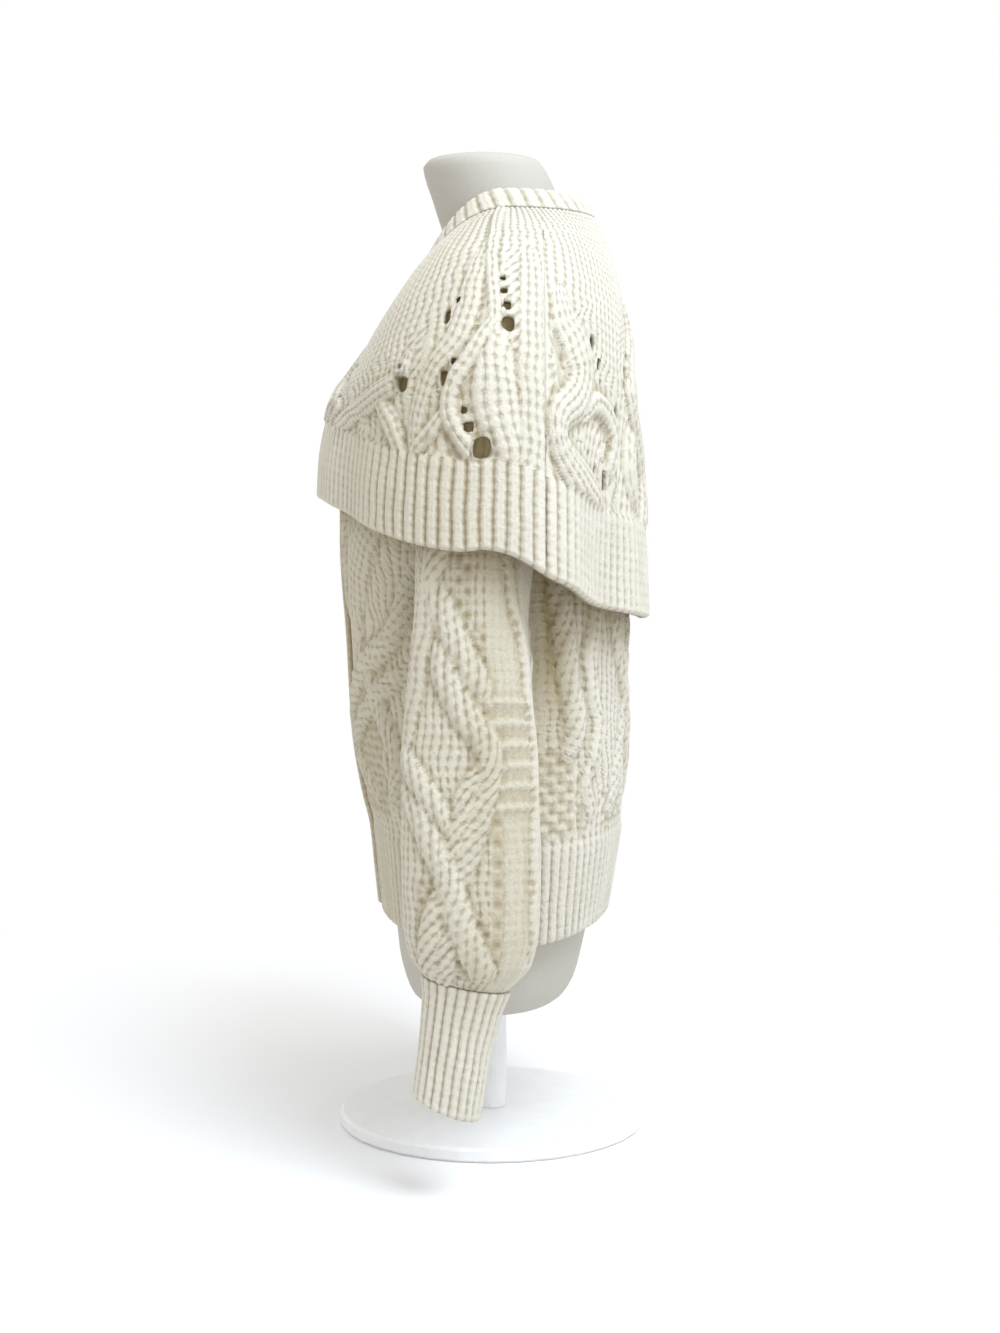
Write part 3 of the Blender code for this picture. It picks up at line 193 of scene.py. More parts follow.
sleeveStrands = {
    "upper": {"rise": 0.0046, "columns": 2, "rope": 0.028, "path": (
        (0.128, 0.37, 0.0079, 0.5), (0.157, 0.408, 0.0106, 1.0), (0.21, 0.463, 0.0106, 1.0),
        (0.266, 0.518, 0.0106, 1.0), (0.284, 0.548, 0.0079, 0.6))},
    "middle": {"rise": 0.005, "columns": 2, "rope": 0.028, "path": (
        (0.15, 0.47, 0.0079, 0.6), (0.177, 0.505, 0.0106, 1.0), (0.228, 0.555, 0.0113, 1.0),
        (0.286, 0.6, 0.0113, 1.0), (0.303, 0.628, 0.0099, 1.1), (0.294, 0.668, 0.0099, 1.0),
        (0.266, 0.72, 0.0106, 1.0), (0.235, 0.782, 0.0106, 0.9), (0.205, 0.822, 0.0106, 0.6),
        (0.168, 0.862, 0.0106, 0.9), (0.14, 0.915, 0.0106, 1.0), (0.118, 0.975, 0.0092, 0.8))},
    "inner": {"rise": 0.0042, "columns": 2, "rope": 0.028, "path": (
        (0.272, 0.655, 0.0079, 0.8), (0.244, 0.69, 0.0099, 1.0), (0.222, 0.742, 0.0099, 0.9),
        (0.196, 0.79, 0.0092, 0.6))},
    "lower": {"rise": 0.0048, "columns": 2, "rope": 0.028, "path": (
        (0.045, 0.622, 0.0092, 0.8), (0.097, 0.657, 0.0106, 1.0), (0.15, 0.695, 0.0099, 1.0),
        (0.188, 0.728, 0.0079, 0.6))},
    "lower twin": {"rise": 0.005, "columns": 2, "rope": 0.028, "path": (
        (0.05, 0.68, 0.0079, 0.6), (0.11, 0.716, 0.0106, 1.0), (0.153, 0.762, 0.0113, 1.0),
        (0.19, 0.804, 0.0113, 1.2), (0.213, 0.862, 0.0118, 1.3), (0.244, 0.914, 0.0118, 1.1),
        (0.29, 0.962, 0.0106, 0.9))},
    "foot": {"rise": 0.0036, "columns": 2, "rope": 0.028, "path": (
        (0.2, 0.895, 0.0079, 0.6), (0.178, 0.935, 0.0099, 1.0), (0.158, 0.985, 0.0092, 0.8))},
    "front edge": {"rise": 0.0036, "columns": 3, "path": (
        (0.118, 0.3, 0.0069, 0.5), (0.112, 0.38, 0.0126, 1.0), (0.086, 0.47, 0.0126, 1.0),
        (0.058, 0.56, 0.0115, 1.0), (0.04, 0.62, 0.0092, 0.7))},
    "edge braid": {"rise": 0.0024, "columns": 1, "path": (
        (0.372, 0.35, 0.005, 0.6), (0.392, 0.408, 0.0062, 1.0), (0.425, 0.468, 0.0062, 1.0),
        (0.432, 0.535, 0.0062, 1.0), (0.452, 0.628, 0.0062, 1.0), (0.436, 0.718, 0.0062, 1.0),
        (0.426, 0.807, 0.0062, 1.0), (0.432, 0.9, 0.0055, 0.8))},
    "top": {"rise": 0.004, "columns": 2, "rope": 0.028, "path": (
        (0.208, 0.25, 0.0092, 0.6), (0.178, 0.305, 0.0106, 1.0), (0.142, 0.35, 0.0106, 1.1),
        (0.108, 0.395, 0.0092, 0.8))},
    "back upper": {"rise": 0.0044, "columns": 2, "rope": 0.028, "path": (
        (0.69, 0.3, 0.0092, 0.6), (0.64, 0.4, 0.0106, 1.0), (0.6, 0.5, 0.0106, 1.0),
        (0.65, 0.62, 0.0106, 1.0), (0.7, 0.7, 0.0106, 1.2), (0.76, 0.8, 0.0106, 1.0),
        (0.78, 0.88, 0.0106, 1.0), (0.74, 0.96, 0.0092, 0.7))},
    "back twin": {"rise": 0.0044, "columns": 2, "rope": 0.028, "path": (
        (0.71, 0.3, 0.0092, 0.6), (0.76, 0.4, 0.0106, 1.0), (0.8, 0.5, 0.0106, 1.0),
        (0.75, 0.62, 0.0106, 1.0), (0.7, 0.7, 0.0106, 0.6), (0.64, 0.8, 0.0106, 1.0),
        (0.62, 0.88, 0.0106, 1.0), (0.66, 0.96, 0.0092, 0.7))},
}
bodyStrands = {
    "front leaf": {"rise": 0.004, "columns": 0, "path": (
        (0.17, 0.64, 0.011, 0.5), (0.135, 0.57, 0.0242, 1.0), (0.105, 0.5, 0.0286, 1.0),
        (0.092, 0.43, 0.0198, 0.9), (0.1, 0.385, 0.0088, 0.6))},
    "front strand": {"rise": 0.005, "columns": 3, "rope": 0.03, "path": (
        (0.182, 0.47, 0.0081, 0.6), (0.16, 0.402, 0.0115, 1.0), (0.112, 0.362, 0.0127, 1.1),
        (0.07, 0.328, 0.0127, 1.0), (0.04, 0.292, 0.0115, 1.0), (0.06, 0.24, 0.0104, 0.9),
        (0.1, 0.195, 0.0104, 0.7))},
    "front twin": {"rise": 0.0046, "columns": 2, "rope": 0.03, "path": (
        (0.168, 0.35, 0.0081, 0.6), (0.13, 0.318, 0.0104, 1.0), (0.09, 0.282, 0.0104, 1.0),
        (0.06, 0.252, 0.0092, 0.8))},
    "front chest": {"rise": 0.0044, "columns": 3, "rope": 0.03, "path": (
        (0.062, 0.64, 0.0092, 0.6), (0.05, 0.56, 0.0115, 1.0), (0.066, 0.47, 0.0115, 1.0),
        (0.096, 0.395, 0.0115, 0.8), (0.14, 0.3, 0.0115, 1.0), (0.16, 0.24, 0.0104, 1.0),
        (0.15, 0.19, 0.0092, 0.7))},
    "back cable": {"rise": 0.0052, "columns": 3, "rope": 0.03, "path": (
        (0.31, 0.56, 0.0095, 0.6), (0.317, 0.43, 0.0125, 1.0), (0.318, 0.39, 0.0125, 1.0),
        (0.322, 0.352, 0.013, 1.0), (0.328, 0.307, 0.013, 1.1), (0.328, 0.275, 0.011, 1.1),
        (0.32, 0.248, 0.008, 0.7))},
    "back twin": {"rise": 0.0044, "columns": 2, "path": (
        (0.374, 0.56, 0.008, 0.6), (0.362, 0.46, 0.009, 1.0), (0.352, 0.4, 0.009, 1.0),
        (0.348, 0.36, 0.0085, 1.0), (0.352, 0.32, 0.0085, 1.0), (0.359, 0.285, 0.0085, 1.0),
        (0.353, 0.245, 0.008, 1.0), (0.342, 0.21, 0.008, 0.9), (0.346, 0.17, 0.007, 0.7))},
    "centre cable": {"rise": 0.0048, "columns": 3, "rope": 0.03, "path": (
        (0.44, 0.88, 0.0092, 0.6), (0.482, 0.76, 0.0115, 1.0), (0.44, 0.54, 0.0115, 1.2),
        (0.398, 0.425, 0.0115, 1.0), (0.44, 0.312, 0.0115, 1.2), (0.482, 0.2, 0.0115, 0.8))},
    "centre twin": {"rise": 0.0048, "columns": 3, "rope": 0.03, "path": (
        (0.44, 0.88, 0.0092, 0.6), (0.398, 0.76, 0.0115, 1.0), (0.44, 0.54, 0.0115, 0.6),
        (0.482, 0.425, 0.0115, 1.0), (0.44, 0.312, 0.0115, 0.6), (0.398, 0.2, 0.0115, 0.8))},
}

# Places knitted in seed stitch: around from and to, along from and to.
patchColumns = ("aroundLow", "aroundHigh", "alongLow", "alongHigh")
sleeveSeed = (
    (0.3, 0.34, 0.715, 0.98),
    (0.2, 0.262, 0.33, 0.44),
    (0.245, 0.3, 0.44, 0.53),
    (0.1, 0.168, 0.815, 0.95),
    (0.205, 0.3, 0.87, 0.985),
)
bodySeed = (
    (0.04, 0.14, 0.15, 0.29),
    (0.285, 0.33, 0.135, 0.262),
    (0.362, 0.435, 0.14, 0.2),
    (0.186, 0.225, 0.135, 0.7),
)

# Places of the cape where the columns slant: the middle around, half width, from and to along,
# and columns crossed for each column's width along.
fanColumns = ("around", "halfWidth", "low", "high", "slant")
capeFans = (
    (0.2645, 0.0075, 0.3, 0.56, 0.9),
    (0.199, 0.008, 0.5, 0.62, 0.9),
    (0.34, 0.014, 0.625, 0.735, 0.6),
    (0.392, 0.012, 0.56, 0.84, 0.4),
)

# Slits: narrow hollows where two strands part. A path is a list of (around, along, half width).
capeSlits = {
    "lens": {"depth": 0.003, "path": (
        (0.2955, 0.5, 0.002), (0.3, 0.555, 0.005), (0.301, 0.61, 0.002))},
    "front slit": {"depth": 0.0026, "path": (
        (0.1965, 0.735, 0.002), (0.198, 0.78, 0.003), (0.1985, 0.815, 0.002))},
    "apex slit": {"depth": 0.0026, "path": (
        (0.2155, 0.752, 0.002), (0.212, 0.78, 0.003), (0.2105, 0.81, 0.002))},
    "apex slit right": {"depth": 0.0024, "path": (
        (0.2285, 0.735, 0.002), (0.232, 0.765, 0.003), (0.237, 0.8, 0.002))},
}
bodySlits = {
    "lens": {"depth": 0.003, "path": (
        (0.333, 0.178, 0.002), (0.333, 0.155, 0.005), (0.336, 0.13, 0.002))},
    "back slit": {"depth": 0.0026, "path": (
        (0.345, 0.235, 0.002), (0.348, 0.205, 0.004), (0.355, 0.172, 0.002))},
    "dotted line": {"depth": 0.0016, "path": (
        (0.35, 0.425, 0.002), (0.333, 0.367, 0.004), (0.336, 0.33, 0.003), (0.343, 0.292, 0.002))},
}

# Eyelets of the cape on the left, each with its mirror on the right.
eyeletColumns = ("around", "along", "width", "height")
eyelets = (
    (0.2568, 0.392, 0.0045, 0.0045),
    (0.258, 0.426, 0.0055, 0.0055),
    (0.26, 0.462, 0.0075, 0.0075),
    (0.262, 0.505, 0.009, 0.0105),
    (0.228, 0.447, 0.004, 0.005),
    (0.2215, 0.482, 0.0055, 0.011),
    (0.23, 0.59, 0.004, 0.0045),
    (0.224, 0.625, 0.006, 0.01),
    (0.237, 0.69, 0.0045, 0.004),
    (0.24, 0.722, 0.008, 0.006),
    (0.248, 0.765, 0.012, 0.013),
    (0.191, 0.59, 0.005, 0.004),
    (0.193, 0.632, 0.01, 0.011),
    (0.338, 0.482, 0.0085, 0.01),
    (0.349, 0.52, 0.008, 0.0085),
    (0.352, 0.556, 0.005, 0.005),
    (0.38, 0.605, 0.009, 0.011),
    (0.332, 0.705, 0.0045, 0.0045),
    (0.346, 0.722, 0.005, 0.005),
    (0.361, 0.735, 0.008, 0.01),
    (0.418, 0.455, 0.006, 0.007),
    (0.408, 0.495, 0.008, 0.0085),
    (0.4, 0.53, 0.006, 0.006),
    (0.1, 0.5, 0.006, 0.006),
    (0.09, 0.545, 0.008, 0.009),
    (0.086, 0.64, 0.011, 0.011),
)


def namedRows(columns, rows):
    return [dict(zip(columns, row)) for row in rows]


# 0 below 0, 1 above 1, and between them 3 t squared less 2 t cubed.
def smoothStep(t):
    t = np.clip(t, 0.0, 1.0)
    return t * t * (3 - 2 * t)


# A hill that is 1 at 0 and falls along a cosine to 0 at -1 and 1.
def hill(t):
    return np.where(np.abs(t) < 1, 0.5 + 0.5 * np.cos(np.pi * np.clip(t, -1, 1)), 0.0)


# A cubic through values at places that doesn't overshoot, read at wanted.
def curveThrough(places, values, wanted):
    steps = np.diff(places)
    slopes = np.diff(values) / steps
    turns = np.zeros(len(values))
    turns[0], turns[-1] = slopes[0], slopes[-1]
    for i in range(1, len(values) - 1):
        before, after = slopes[i - 1], slopes[i]
        if before * after > 0:
            w1 = 2 * steps[i] + steps[i - 1]
            w2 = steps[i] + 2 * steps[i - 1]
            turns[i] = (w1 + w2) / (w1 / before + w2 / after)
    i = np.clip(np.searchsorted(places, wanted) - 1, 0, len(steps) - 1)
    t = (wanted - places[i]) / steps[i]
    return (
        values[i] * (1 + 2 * t) * (1 - t) ** 2
        + turns[i] * steps[i] * t * (1 - t) ** 2
        + values[i + 1] * t * t * (3 - 2 * t)
        + turns[i + 1] * steps[i] * t * t * (t - 1)
    )


# The size of a wave to a power, with the wave's own sign.
def powered(wave, power):
    return np.sign(wave) * np.abs(wave) ** power


# An outline round the wearer: x is half width times a powered cosine, y a powered sine between
# the front and the back, and z goes from the side's height to the front's or the back's.
def levelRing(row, count):
    angle = np.linspace(-math.pi / 2, 1.5 * math.pi, count)
    across, deep = np.cos(angle), np.sin(angle)
    power = 2 / row["squareness"]
    end = np.where(deep < 0, row["zFront"], row["zBack"])
    bend = np.where(deep < 0, 2.0, row.get("backBend", 2.0))
    middle = (row["yFront"] + row["yBack"]) / 2
    halfDepth = (row["yBack"] - row["yFront"]) / 2
    return np.stack([
        row["halfWidth"] * powered(across, power),
        middle + halfDepth * powered(deep, power),
        row["zSide"] + (end - row["zSide"]) * np.abs(deep) ** bend,
    ], axis=1)


# A sleeve's outline: powered cosine from the inner to the outer line, powered sine from the
# front to the back, tilted up at the front by rise.
def sleeveRing(row, count):
    angle = np.linspace(-math.pi / 2, 1.5 * math.pi, count)
    power = 2 / row["squareness"]
    out, deep = powered(np.cos(angle), power), powered(np.sin(angle), power)
    middles = [(row[f"inner{a}"] + row[f"outer{a}"]) / 2 for a in "XZ"]
    halves = [(row[f"outer{a}"] - row[f"inner{a}"]) / 2 for a in "XZ"]
    return np.stack([
        middles[0] + out * halves[0],
        (row["yFront"] + row["yBack"]) / 2 + deep * (row["yBack"] - row["yFront"]) / 2,
        middles[1] + out * halves[1] - deep * row["rise"] / 2,
    ], axis=1)


# A skin through rings, kept as a fine table of points and normals. Each column of the rings goes
# along the skin in a smooth curve, and a fold lifts the skin by its depth times a hill across it.
class Skin:
    fineAlong = 481
    fineAround = 1081
    ringPoints = 2161

    def __init__(self, rings, columns, ring, folds=()):
        self.names = list(rings)
        numbers = np.array(list(rings.values()), float)
        corners = np.array([ring(dict(zip(columns, row)), 5)[:4] for row in numbers])
        steps = np.linalg.norm(np.diff(corners, axis=0), axis=2).mean(axis=1)
        self.places = np.concatenate([[0], np.cumsum(steps)]) / steps.sum()
        self.length = steps.sum()
        self.alongs = np.linspace(0, 1, self.fineAlong)
        self.arounds = np.linspace(0, 1, self.fineAround)
        fine = [curveThrough(self.places, numbers[:, i], self.alongs) for i in range(numbers.shape[1])]
        grid = []
        for values in zip(*fine):
            points = ring(dict(zip(columns, values)), self.ringPoints)
            reach = np.concatenate([[0], np.cumsum(np.linalg.norm(np.diff(points, axis=0), axis=1))])
            share = reach / reach[-1]
            grid.append([np.interp(self.arounds, share, points[:, a]) for a in range(3)])
        self.grid = np.array(grid).transpose(0, 2, 1)
        for row in namedRows(foldColumns, folds):
            ramp = smoothStep((self.alongs - row["start"]) / (1 - row["start"]))
            normals = self.gridNormals()
            for place in (row["around"], 1 - row["around"]):
                swell = hill((self.arounds - place) / row["halfWidth"])
                self.grid = self.grid + normals * (ramp[:, None] * swell * row["depth"])[:, :, None]
        self.normals = self.gridNormals()
        self.girths = np.linalg.norm(np.diff(self.grid, axis=1), axis=2).sum(axis=1)

    def gridNormals(self):
        across = np.gradient(self.grid, axis=1)
        across[:, 0] = across[:, -1] = self.grid[:, 1] - self.grid[:, -2]
        normals = np.cross(across, np.gradient(self.grid, axis=0))
        normals /= np.linalg.norm(normals, axis=2, keepdims=True)
        middle = self.grid.mean(axis=1, keepdims=True)
        return normals * np.sign(((self.grid - middle) * normals).sum())

    def read(self, table, around, along):
        a = np.clip(along, 0, 1) * (self.fineAlong - 1)
        b = np.mod(around, 1.0) * (self.fineAround - 1)
        i = np.clip(a.astype(int), 0, self.fineAlong - 2)
        j = np.clip(b.astype(int), 0, self.fineAround - 2)
        p, q = (a - i)[..., None], (b - j)[..., None]
        near = table[i, j] * (1 - q) + table[i, j + 1] * q
        far = table[i + 1, j] * (1 - q) + table[i + 1, j + 1] * q
        return near * (1 - p) + far * p

    def points(self, around, along, rise):
        normals = self.read(self.normals, around, along)
        normals /= np.linalg.norm(normals, axis=-1, keepdims=True)
        return self.read(self.grid, around, along) + normals * rise[..., None]

    def place(self, name):
        return self.places[self.names.index(name)]

    def girthAt(self, along):
        return np.interp(along, self.alongs, self.girths)

    # The around on the left half, or near the centre front, where a coordinate is value.
    def aroundAt(self, axis, value, along):
        last = self.fineAround // 2 if axis == 1 else self.fineAround // 5
        i = int(round(float(along) * (self.fineAlong - 1)))
        return float(np.interp(value, self.grid[i, :last, axis], self.arounds[:last]))


# Points of a smooth curve through a path's points: a cubic for each stretch, from the four points
# round it. A strand's path goes on past both ends, where it narrows and its lift falls to 0.
tip = {"further": 0.45, "narrower": 0.6, "pointsInStretch": 8}


def smoothPath(path, onward=True):
    path = np.array(path, float)
    if onward:
        first = path[0] + (path[0] - path[1]) * tip["further"]
        last = path[-1] + (path[-1] - path[-2]) * tip["further"]
        first[2:] = path[0, 2] * tip["narrower"], 0
        last[2:] = path[-1, 2] * tip["narrower"], 0
        path = np.vstack([first, path, last])
    padded = np.vstack([2 * path[0] - path[1], path, 2 * path[-1] - path[-2]])
    t = np.linspace(0, 1, tip["pointsInStretch"], endpoint=False)[:, None]
    pieces = []
    for a, b, c, d in zip(padded[:-3], padded[1:-2], padded[2:-1], padded[3:]):
        pieces.append(0.5 * (2 * b + (c - a) * t + (2 * a - 5 * b + 4 * c - d) * t**2
                             + (3 * b - 3 * c + d - a) * t**3))
    return np.vstack([*pieces, path[-1:]])


# Rises and depths of the knitting, in metres.
relief = {
    "strandWale": 0.0012, "ropeGroove": 0.0022, "strandBed": 0.0005, "seed": 0.0013,
    "ribDent": 0.0004, "hollow": 0.0016,
}


# What is knitted over a skin: the height of each place, which knit column and stitch it is in,
# how much it is purled, and how clearly its stitches (crisp) and its columns (deep) part.
class Knitting:
    stitchHeight = 0.0074
    bendReach = 0.026

    def __init__(self, skin, around, along, columnWidth, twoSided=True):
        self.skin, self.around, self.along = skin, around, along
        self.place = np.minimum(around % 1, 1 - around % 1) if twoSided else around % 1
        self.girth = skin.girthAt(along)
        self.columnWidth = columnWidth
        self.columns = round(float(skin.girths.mean()) / columnWidth)
        self.column = self.place * self.columns
        self.stitch = self.stitchAt(along)
        # Hand knitting isn't quite even: columns sway by up to about a fifth of their width.
        x, y = self.place * self.girth, along * skin.length
        self.sway = 0.11 * np.sin(y / 0.0053 + 3 * np.sin(x / 0.019))
        self.sway += 0.11 * np.sin(x / 0.011 - y / 0.0087)
        self.purl, self.height = np.zeros(around.shape), np.zeros(around.shape)
        self.crisp, self.deep = np.ones(around.shape), np.ones(around.shape)

    def stitchAt(self, along):
        return along * self.skin.length / self.stitchHeight

    # Puts values in the tables named, where mask is true.
    def put(self, mask, near=..., **values):
        for name, value in values.items():
            table = getattr(self, name)
            table[near] = np.where(mask, value, table[near])

    # Slants the columns inside a patch: a column shifts by slant times how far along it is.
    def addFans(self, fans):
        for fan in namedRows(fanColumns, fans):
            inside = np.abs(self.place - fan["around"]) < fan["halfWidth"]
            inside &= np.abs(self.along - (fan["low"] + fan["high"]) / 2) < (fan["high"] - fan["low"]) / 2
            shift = (self.along - fan["low"]) * self.skin.length / self.columnWidth * fan["slant"]
            self.put(inside, column=self.place * self.columns + shift, stitch=self.stitchAt(self.along))

    # Where share is 1 the knitting is fine and flat.
    def calm(self, share):
        self.height = self.height * (1 - 0.75 * share)
        self.crisp = self.crisp * (1 - 0.7 * share)
        self.deep = self.deep * (1 - 0.62 * share)

    # Each knit column is a ridge: the power 0.7 of the size of a sine across it.
    def wales(self, column, rise):
        return rise * (np.abs(np.sin(np.pi * column)) ** 0.7 - 0.6)

    def addWales(self, rise):
        self.height = self.wales(self.column + self.sway, rise)

    # Bends the columns near the strands so that they run beside them: within bendReach of a
    # strand's edge, a column is counted from its middle line, by how far across it the place is.
    def bendGround(self, strands):
        for strand in strands.values():
            near, across, _, values = self.nearPath(strand["path"], self.bendReach + 0.004)
            around, along, half, lift = values
            pull = hill((np.abs(across) - half) / self.bendReach) * np.clip(lift * 1.4, 0, 1)
            pull = np.where(np.abs(across) < half, 1, pull)
            beside = around * self.columns + across / (self.girth[near] / self.columns)
            self.column[near] += pull * (beside - self.column[near])
            self.stitch[near] += pull * (self.stitchAt(along) - self.stitch[near])

    # The nearest place on a path: how far across it, how far along it, and its other values.
    def nearPath(self, path, beyond=0.0, onward=True):
        path = smoothPath(path, onward)
        reach = path[:, 2].max() * 1.3 + beyond
        low, high = path.min(axis=0), path.max(axis=0)
        pad = reach / float(self.girth.min())
        near = (self.place > low[0] - pad) & (self.place < high[0] + pad)
        near &= (self.along > low[1] - reach / self.skin.length)
        near &= (self.along < high[1] + reach / self.skin.length)
        x, y, girth = self.place[near], self.along[near], self.girth[near]
        best = np.full(x.shape, 1.0)
        side, run = np.ones(x.shape), np.zeros(x.shape)
        values = np.zeros((path.shape[1], *x.shape))
        start = 0.0
        for a, b in zip(path[:-1], path[1:]):
            dx, dy = (b[0] - a[0]) * girth, (b[1] - a[1]) * self.skin.length
            px, py = (x - a[0]) * girth, (y - a[1]) * self.skin.length
            size = np.maximum(dx**2 + dy**2, 1e-12)
            t = np.clip((px * dx + py * dy) / size, 0, 1)
            ex, ey = px - t * dx, py - t * dy
            distance = np.hypot(ex, ey)
            closer = distance < best
            best = np.where(closer, distance, best)
            side = np.where(closer, np.sign(dx * ey - dy * ex), side)
            run = np.where(closer, start + t * np.sqrt(size), run)
            for k in range(len(values)):
                values[k] = np.where(closer, a[k] + (b[k] - a[k]) * t, values[k])
            start = start + (np.sqrt(size.mean()) if near.any() else 0)
        downward = 1 if path[-1, 1] > path[0, 1] else -1
        return near, -best * side * downward, run, values

    # A strand's height is rise times lift times (1 less the power 2.5 of how far across it the
    # place is) to the power 0.9, with its knit columns on it. A rope has grooves too, where a
    # sine of how far along and across it the place is goes through 0, and its columns slant.
    def addStrands(self, strands):
        for strand in strands.values():
            near, across, run, (_, _, half, lift) = self.nearPath(strand["path"])
            q = across / half
            inside = np.abs(q) < 1
            body = np.clip(1 - np.abs(q) ** 2.5, 0, 1) ** 0.9
            height = strand["rise"] * lift * body
            column = (q / 2 + 0.5) * strand["columns"] if strand["columns"] else across / self.columnWidth
            if "rope" in strand:
                turns = run / strand["rope"]
                lobe = np.abs(np.sin(np.pi * (turns + 0.7 * q))) ** 0.6
                height = height - relief["ropeGroove"] * (1 - lobe) * body * np.clip(lift, 0, 1)
                column = 1.5 * q + 1.9 * turns
            else:
                self.put(inside, near, crisp=1)
            self.put(inside, near, deep=1)
            height = height + self.wales(column, relief["strandWale"]) * body
            bed = relief["strandBed"] * hill((np.abs(q) - 1.05) / 0.35) * np.clip(lift, 0, 1)
            ground = self.height[near] - bed
            taller = inside & (height > ground - 0.0002) & (lift > 0.12)
            self.height[near] = np.where(taller, height, ground)
            self.put(taller, near, column=column, stitch=run / self.stitchHeight, purl=0)

    # A slit is as deep as its depth times a hill across it, 1.6 times as wide as its path says.
    def addSlits(self, slits):
        for slit in slits.values():
            near, across, _, (_, _, half) = self.nearPath(slit["path"], onward=False)
            self.height[near] -= slit["depth"] * hill(across / half / 1.6)

    # Seed stitch: bumps in a chequer, the power 0.7 of a cosine across times a cosine along.
    def addSeed(self, patches):
        for patch in namedRows(patchColumns, patches):
            inside = smoothStep((self.place - patch["aroundLow"]) / 0.008)
            inside *= smoothStep((patch["aroundHigh"] - self.place) / 0.008)
            inside *= smoothStep((self.along - patch["alongLow"]) / 0.008)
            inside *= smoothStep((patch["alongHigh"] - self.along) / 0.008)
            x, y = self.place * self.columns, self.stitchAt(self.along)
            bumps = relief["seed"] * powered(np.cos(np.pi * x) * np.cos(np.pi * y), 0.7)
            self.height = self.height * (1 - inside) + bumps * inside
            self.put(inside > 0.5, column=x, stitch=y)
            self.purl = np.maximum(self.purl, inside)

    # Level ridges in beads between two places along: the power 9 of the size of a sine along,
    # times 1 and a quarter of a sine across, between the arounds start and end.
    def addWelts(self, low, high, start, end, count, rise):
        share = (self.along - low) / (high - low)
        across = 2 * np.pi * self.place * self.girth / 0.0075
        waves = np.abs(np.sin(np.pi * (count * share + 0.07 * np.sin(across)))) ** 9
        inside = (share > 0) & (share < 1)
        side = smoothStep((self.place - start) / 0.012) * smoothStep((end - self.place) / 0.012)
        self.height = self.height + rise * waves * (1 + 0.25 * np.sin(2 * across)) * inside * side

    # Ribs where weight is 1: ridges with purl valleys between them. share is how far across the
    # panel each place is, ribs the count of ridges. A ridge is 1 less a smooth step outwards from
    # its middle, where it has a slight dent. The first plainRibs of them lie flat, under a band.
    def addRibs(self, share, ribs, rise, weight=1.0, plainRibs=0):
        phase = share * ribs + 0.1 * self.sway * np.minimum(1, 20 * np.minimum(share, 1 - share))
        off = (phase % 1 - 0.5) * 2
        ridge = 1 - smoothStep((np.abs(off) - 0.56) / 0.34)
        height = rise * ridge * (phase > plainRibs) - relief["ribDent"] * hill(off / 0.3) * ridge
        self.height = self.height * (1 - weight) + height * weight
        self.put(weight > 0.5, column=phase, stitch=self.stitchAt(self.along), purl=0.25 * (1 - ridge),
                 crisp=0.34, deep=1, sway=0.25 * self.sway)

    # How much lower each place is than its surroundings: the mean height of the cells nearby
    # less its own.
    # The wool darkens these hollows with painted shade.
    def hollows(self, cells=5):
        mean = self.height
        for axis in (0, 1):
            padded = np.concatenate([np.repeat(np.take(mean, [0], axis), cells, axis), mean,
                                     np.repeat(np.take(mean, [-1], axis), cells, axis)], axis)
            sums = np.cumsum(padded, axis)
            width = 2 * cells
            low = np.take(sums, range(mean.shape[axis]), axis)
            high = np.take(sums, range(width, width + mean.shape[axis]), axis)
            mean = (high - low) / width
        return np.clip((mean - self.height) / relief["hollow"], -1, 1)


# How far up under the cape a place is: 0 at 5 cm below its hem, 1 from 7 cm above it.
# Under the cape the wool gets a painted shade from this, and higher up a painted glow.
def underCape(points):
    hem = cape.grid[-1, : cape.fineAround // 2]
    above = points[:, 2] - np.interp(points[:, 1], hem[:, 1], hem[:, 2])
    return np.clip((above + 0.05) / 0.12, 0, 1)


# A mesh from quads and triangles, with smooth faces.
def newMesh(name, points, quads, triangles):
    mesh = bpy.data.meshes.new(name)
    corners = np.concatenate([quads.ravel(), triangles.ravel()])
    sizes = np.concatenate([np.full(len(quads), 4), np.full(len(triangles), 3)])
    mesh.vertices.add(len(points))
    mesh.vertices.foreach_set("co", points.ravel())
    mesh.loops.add(len(corners))
    mesh.loops.foreach_set("vertex_index", corners.astype(np.int32))
    mesh.polygons.add(len(sizes))
    mesh.polygons.foreach_set("loop_start", (np.cumsum(sizes) - sizes).astype(np.int32))
    mesh.update(calc_edges=True)
    mesh.polygons.foreach_set("use_smooth", np.ones(len(sizes), bool))
    return mesh


# Triangles that join three cells of a fine edge to one of a coarse edge.
def edgeStrip(fine, coarse, flipped):
    a, b, c, d = fine
    near, far = coarse
    made = np.concatenate([
        np.stack([a, b, near], axis=-1).reshape(-1, 3),
        np.stack([b, c, near], axis=-1).reshape(-1, 3),
        np.stack([c, far, near], axis=-1).reshape(-1, 3),
        np.stack([c, d, far], axis=-1).reshape(-1, 3),
    ])
    return made[:, ::-1] if flipped else made


# Values at the points of a wall's outer face, then at those of its inner face.
def onBothFaces(values):
    shape = (-1, *values.shape[2:])
    return np.concatenate([values.reshape(shape), values[::3, ::3].reshape(shape)])


# How much painted shade, to the colour deep, the wool takes: under the cape and on its inner face,
# down the fronts that face away from the light, at the body's sides behind the sleeve, over the
# whole sleeve and more in the sleeve's fine part.
shading = {
    "innerFace": 0.75, "capeFront": 0.22, "bodySide": 0.42, "bodyFront": 0.29, "sleeveTop": 0.85,
    "sleeve": 0.18, "sleeveFine": 0.1,
}


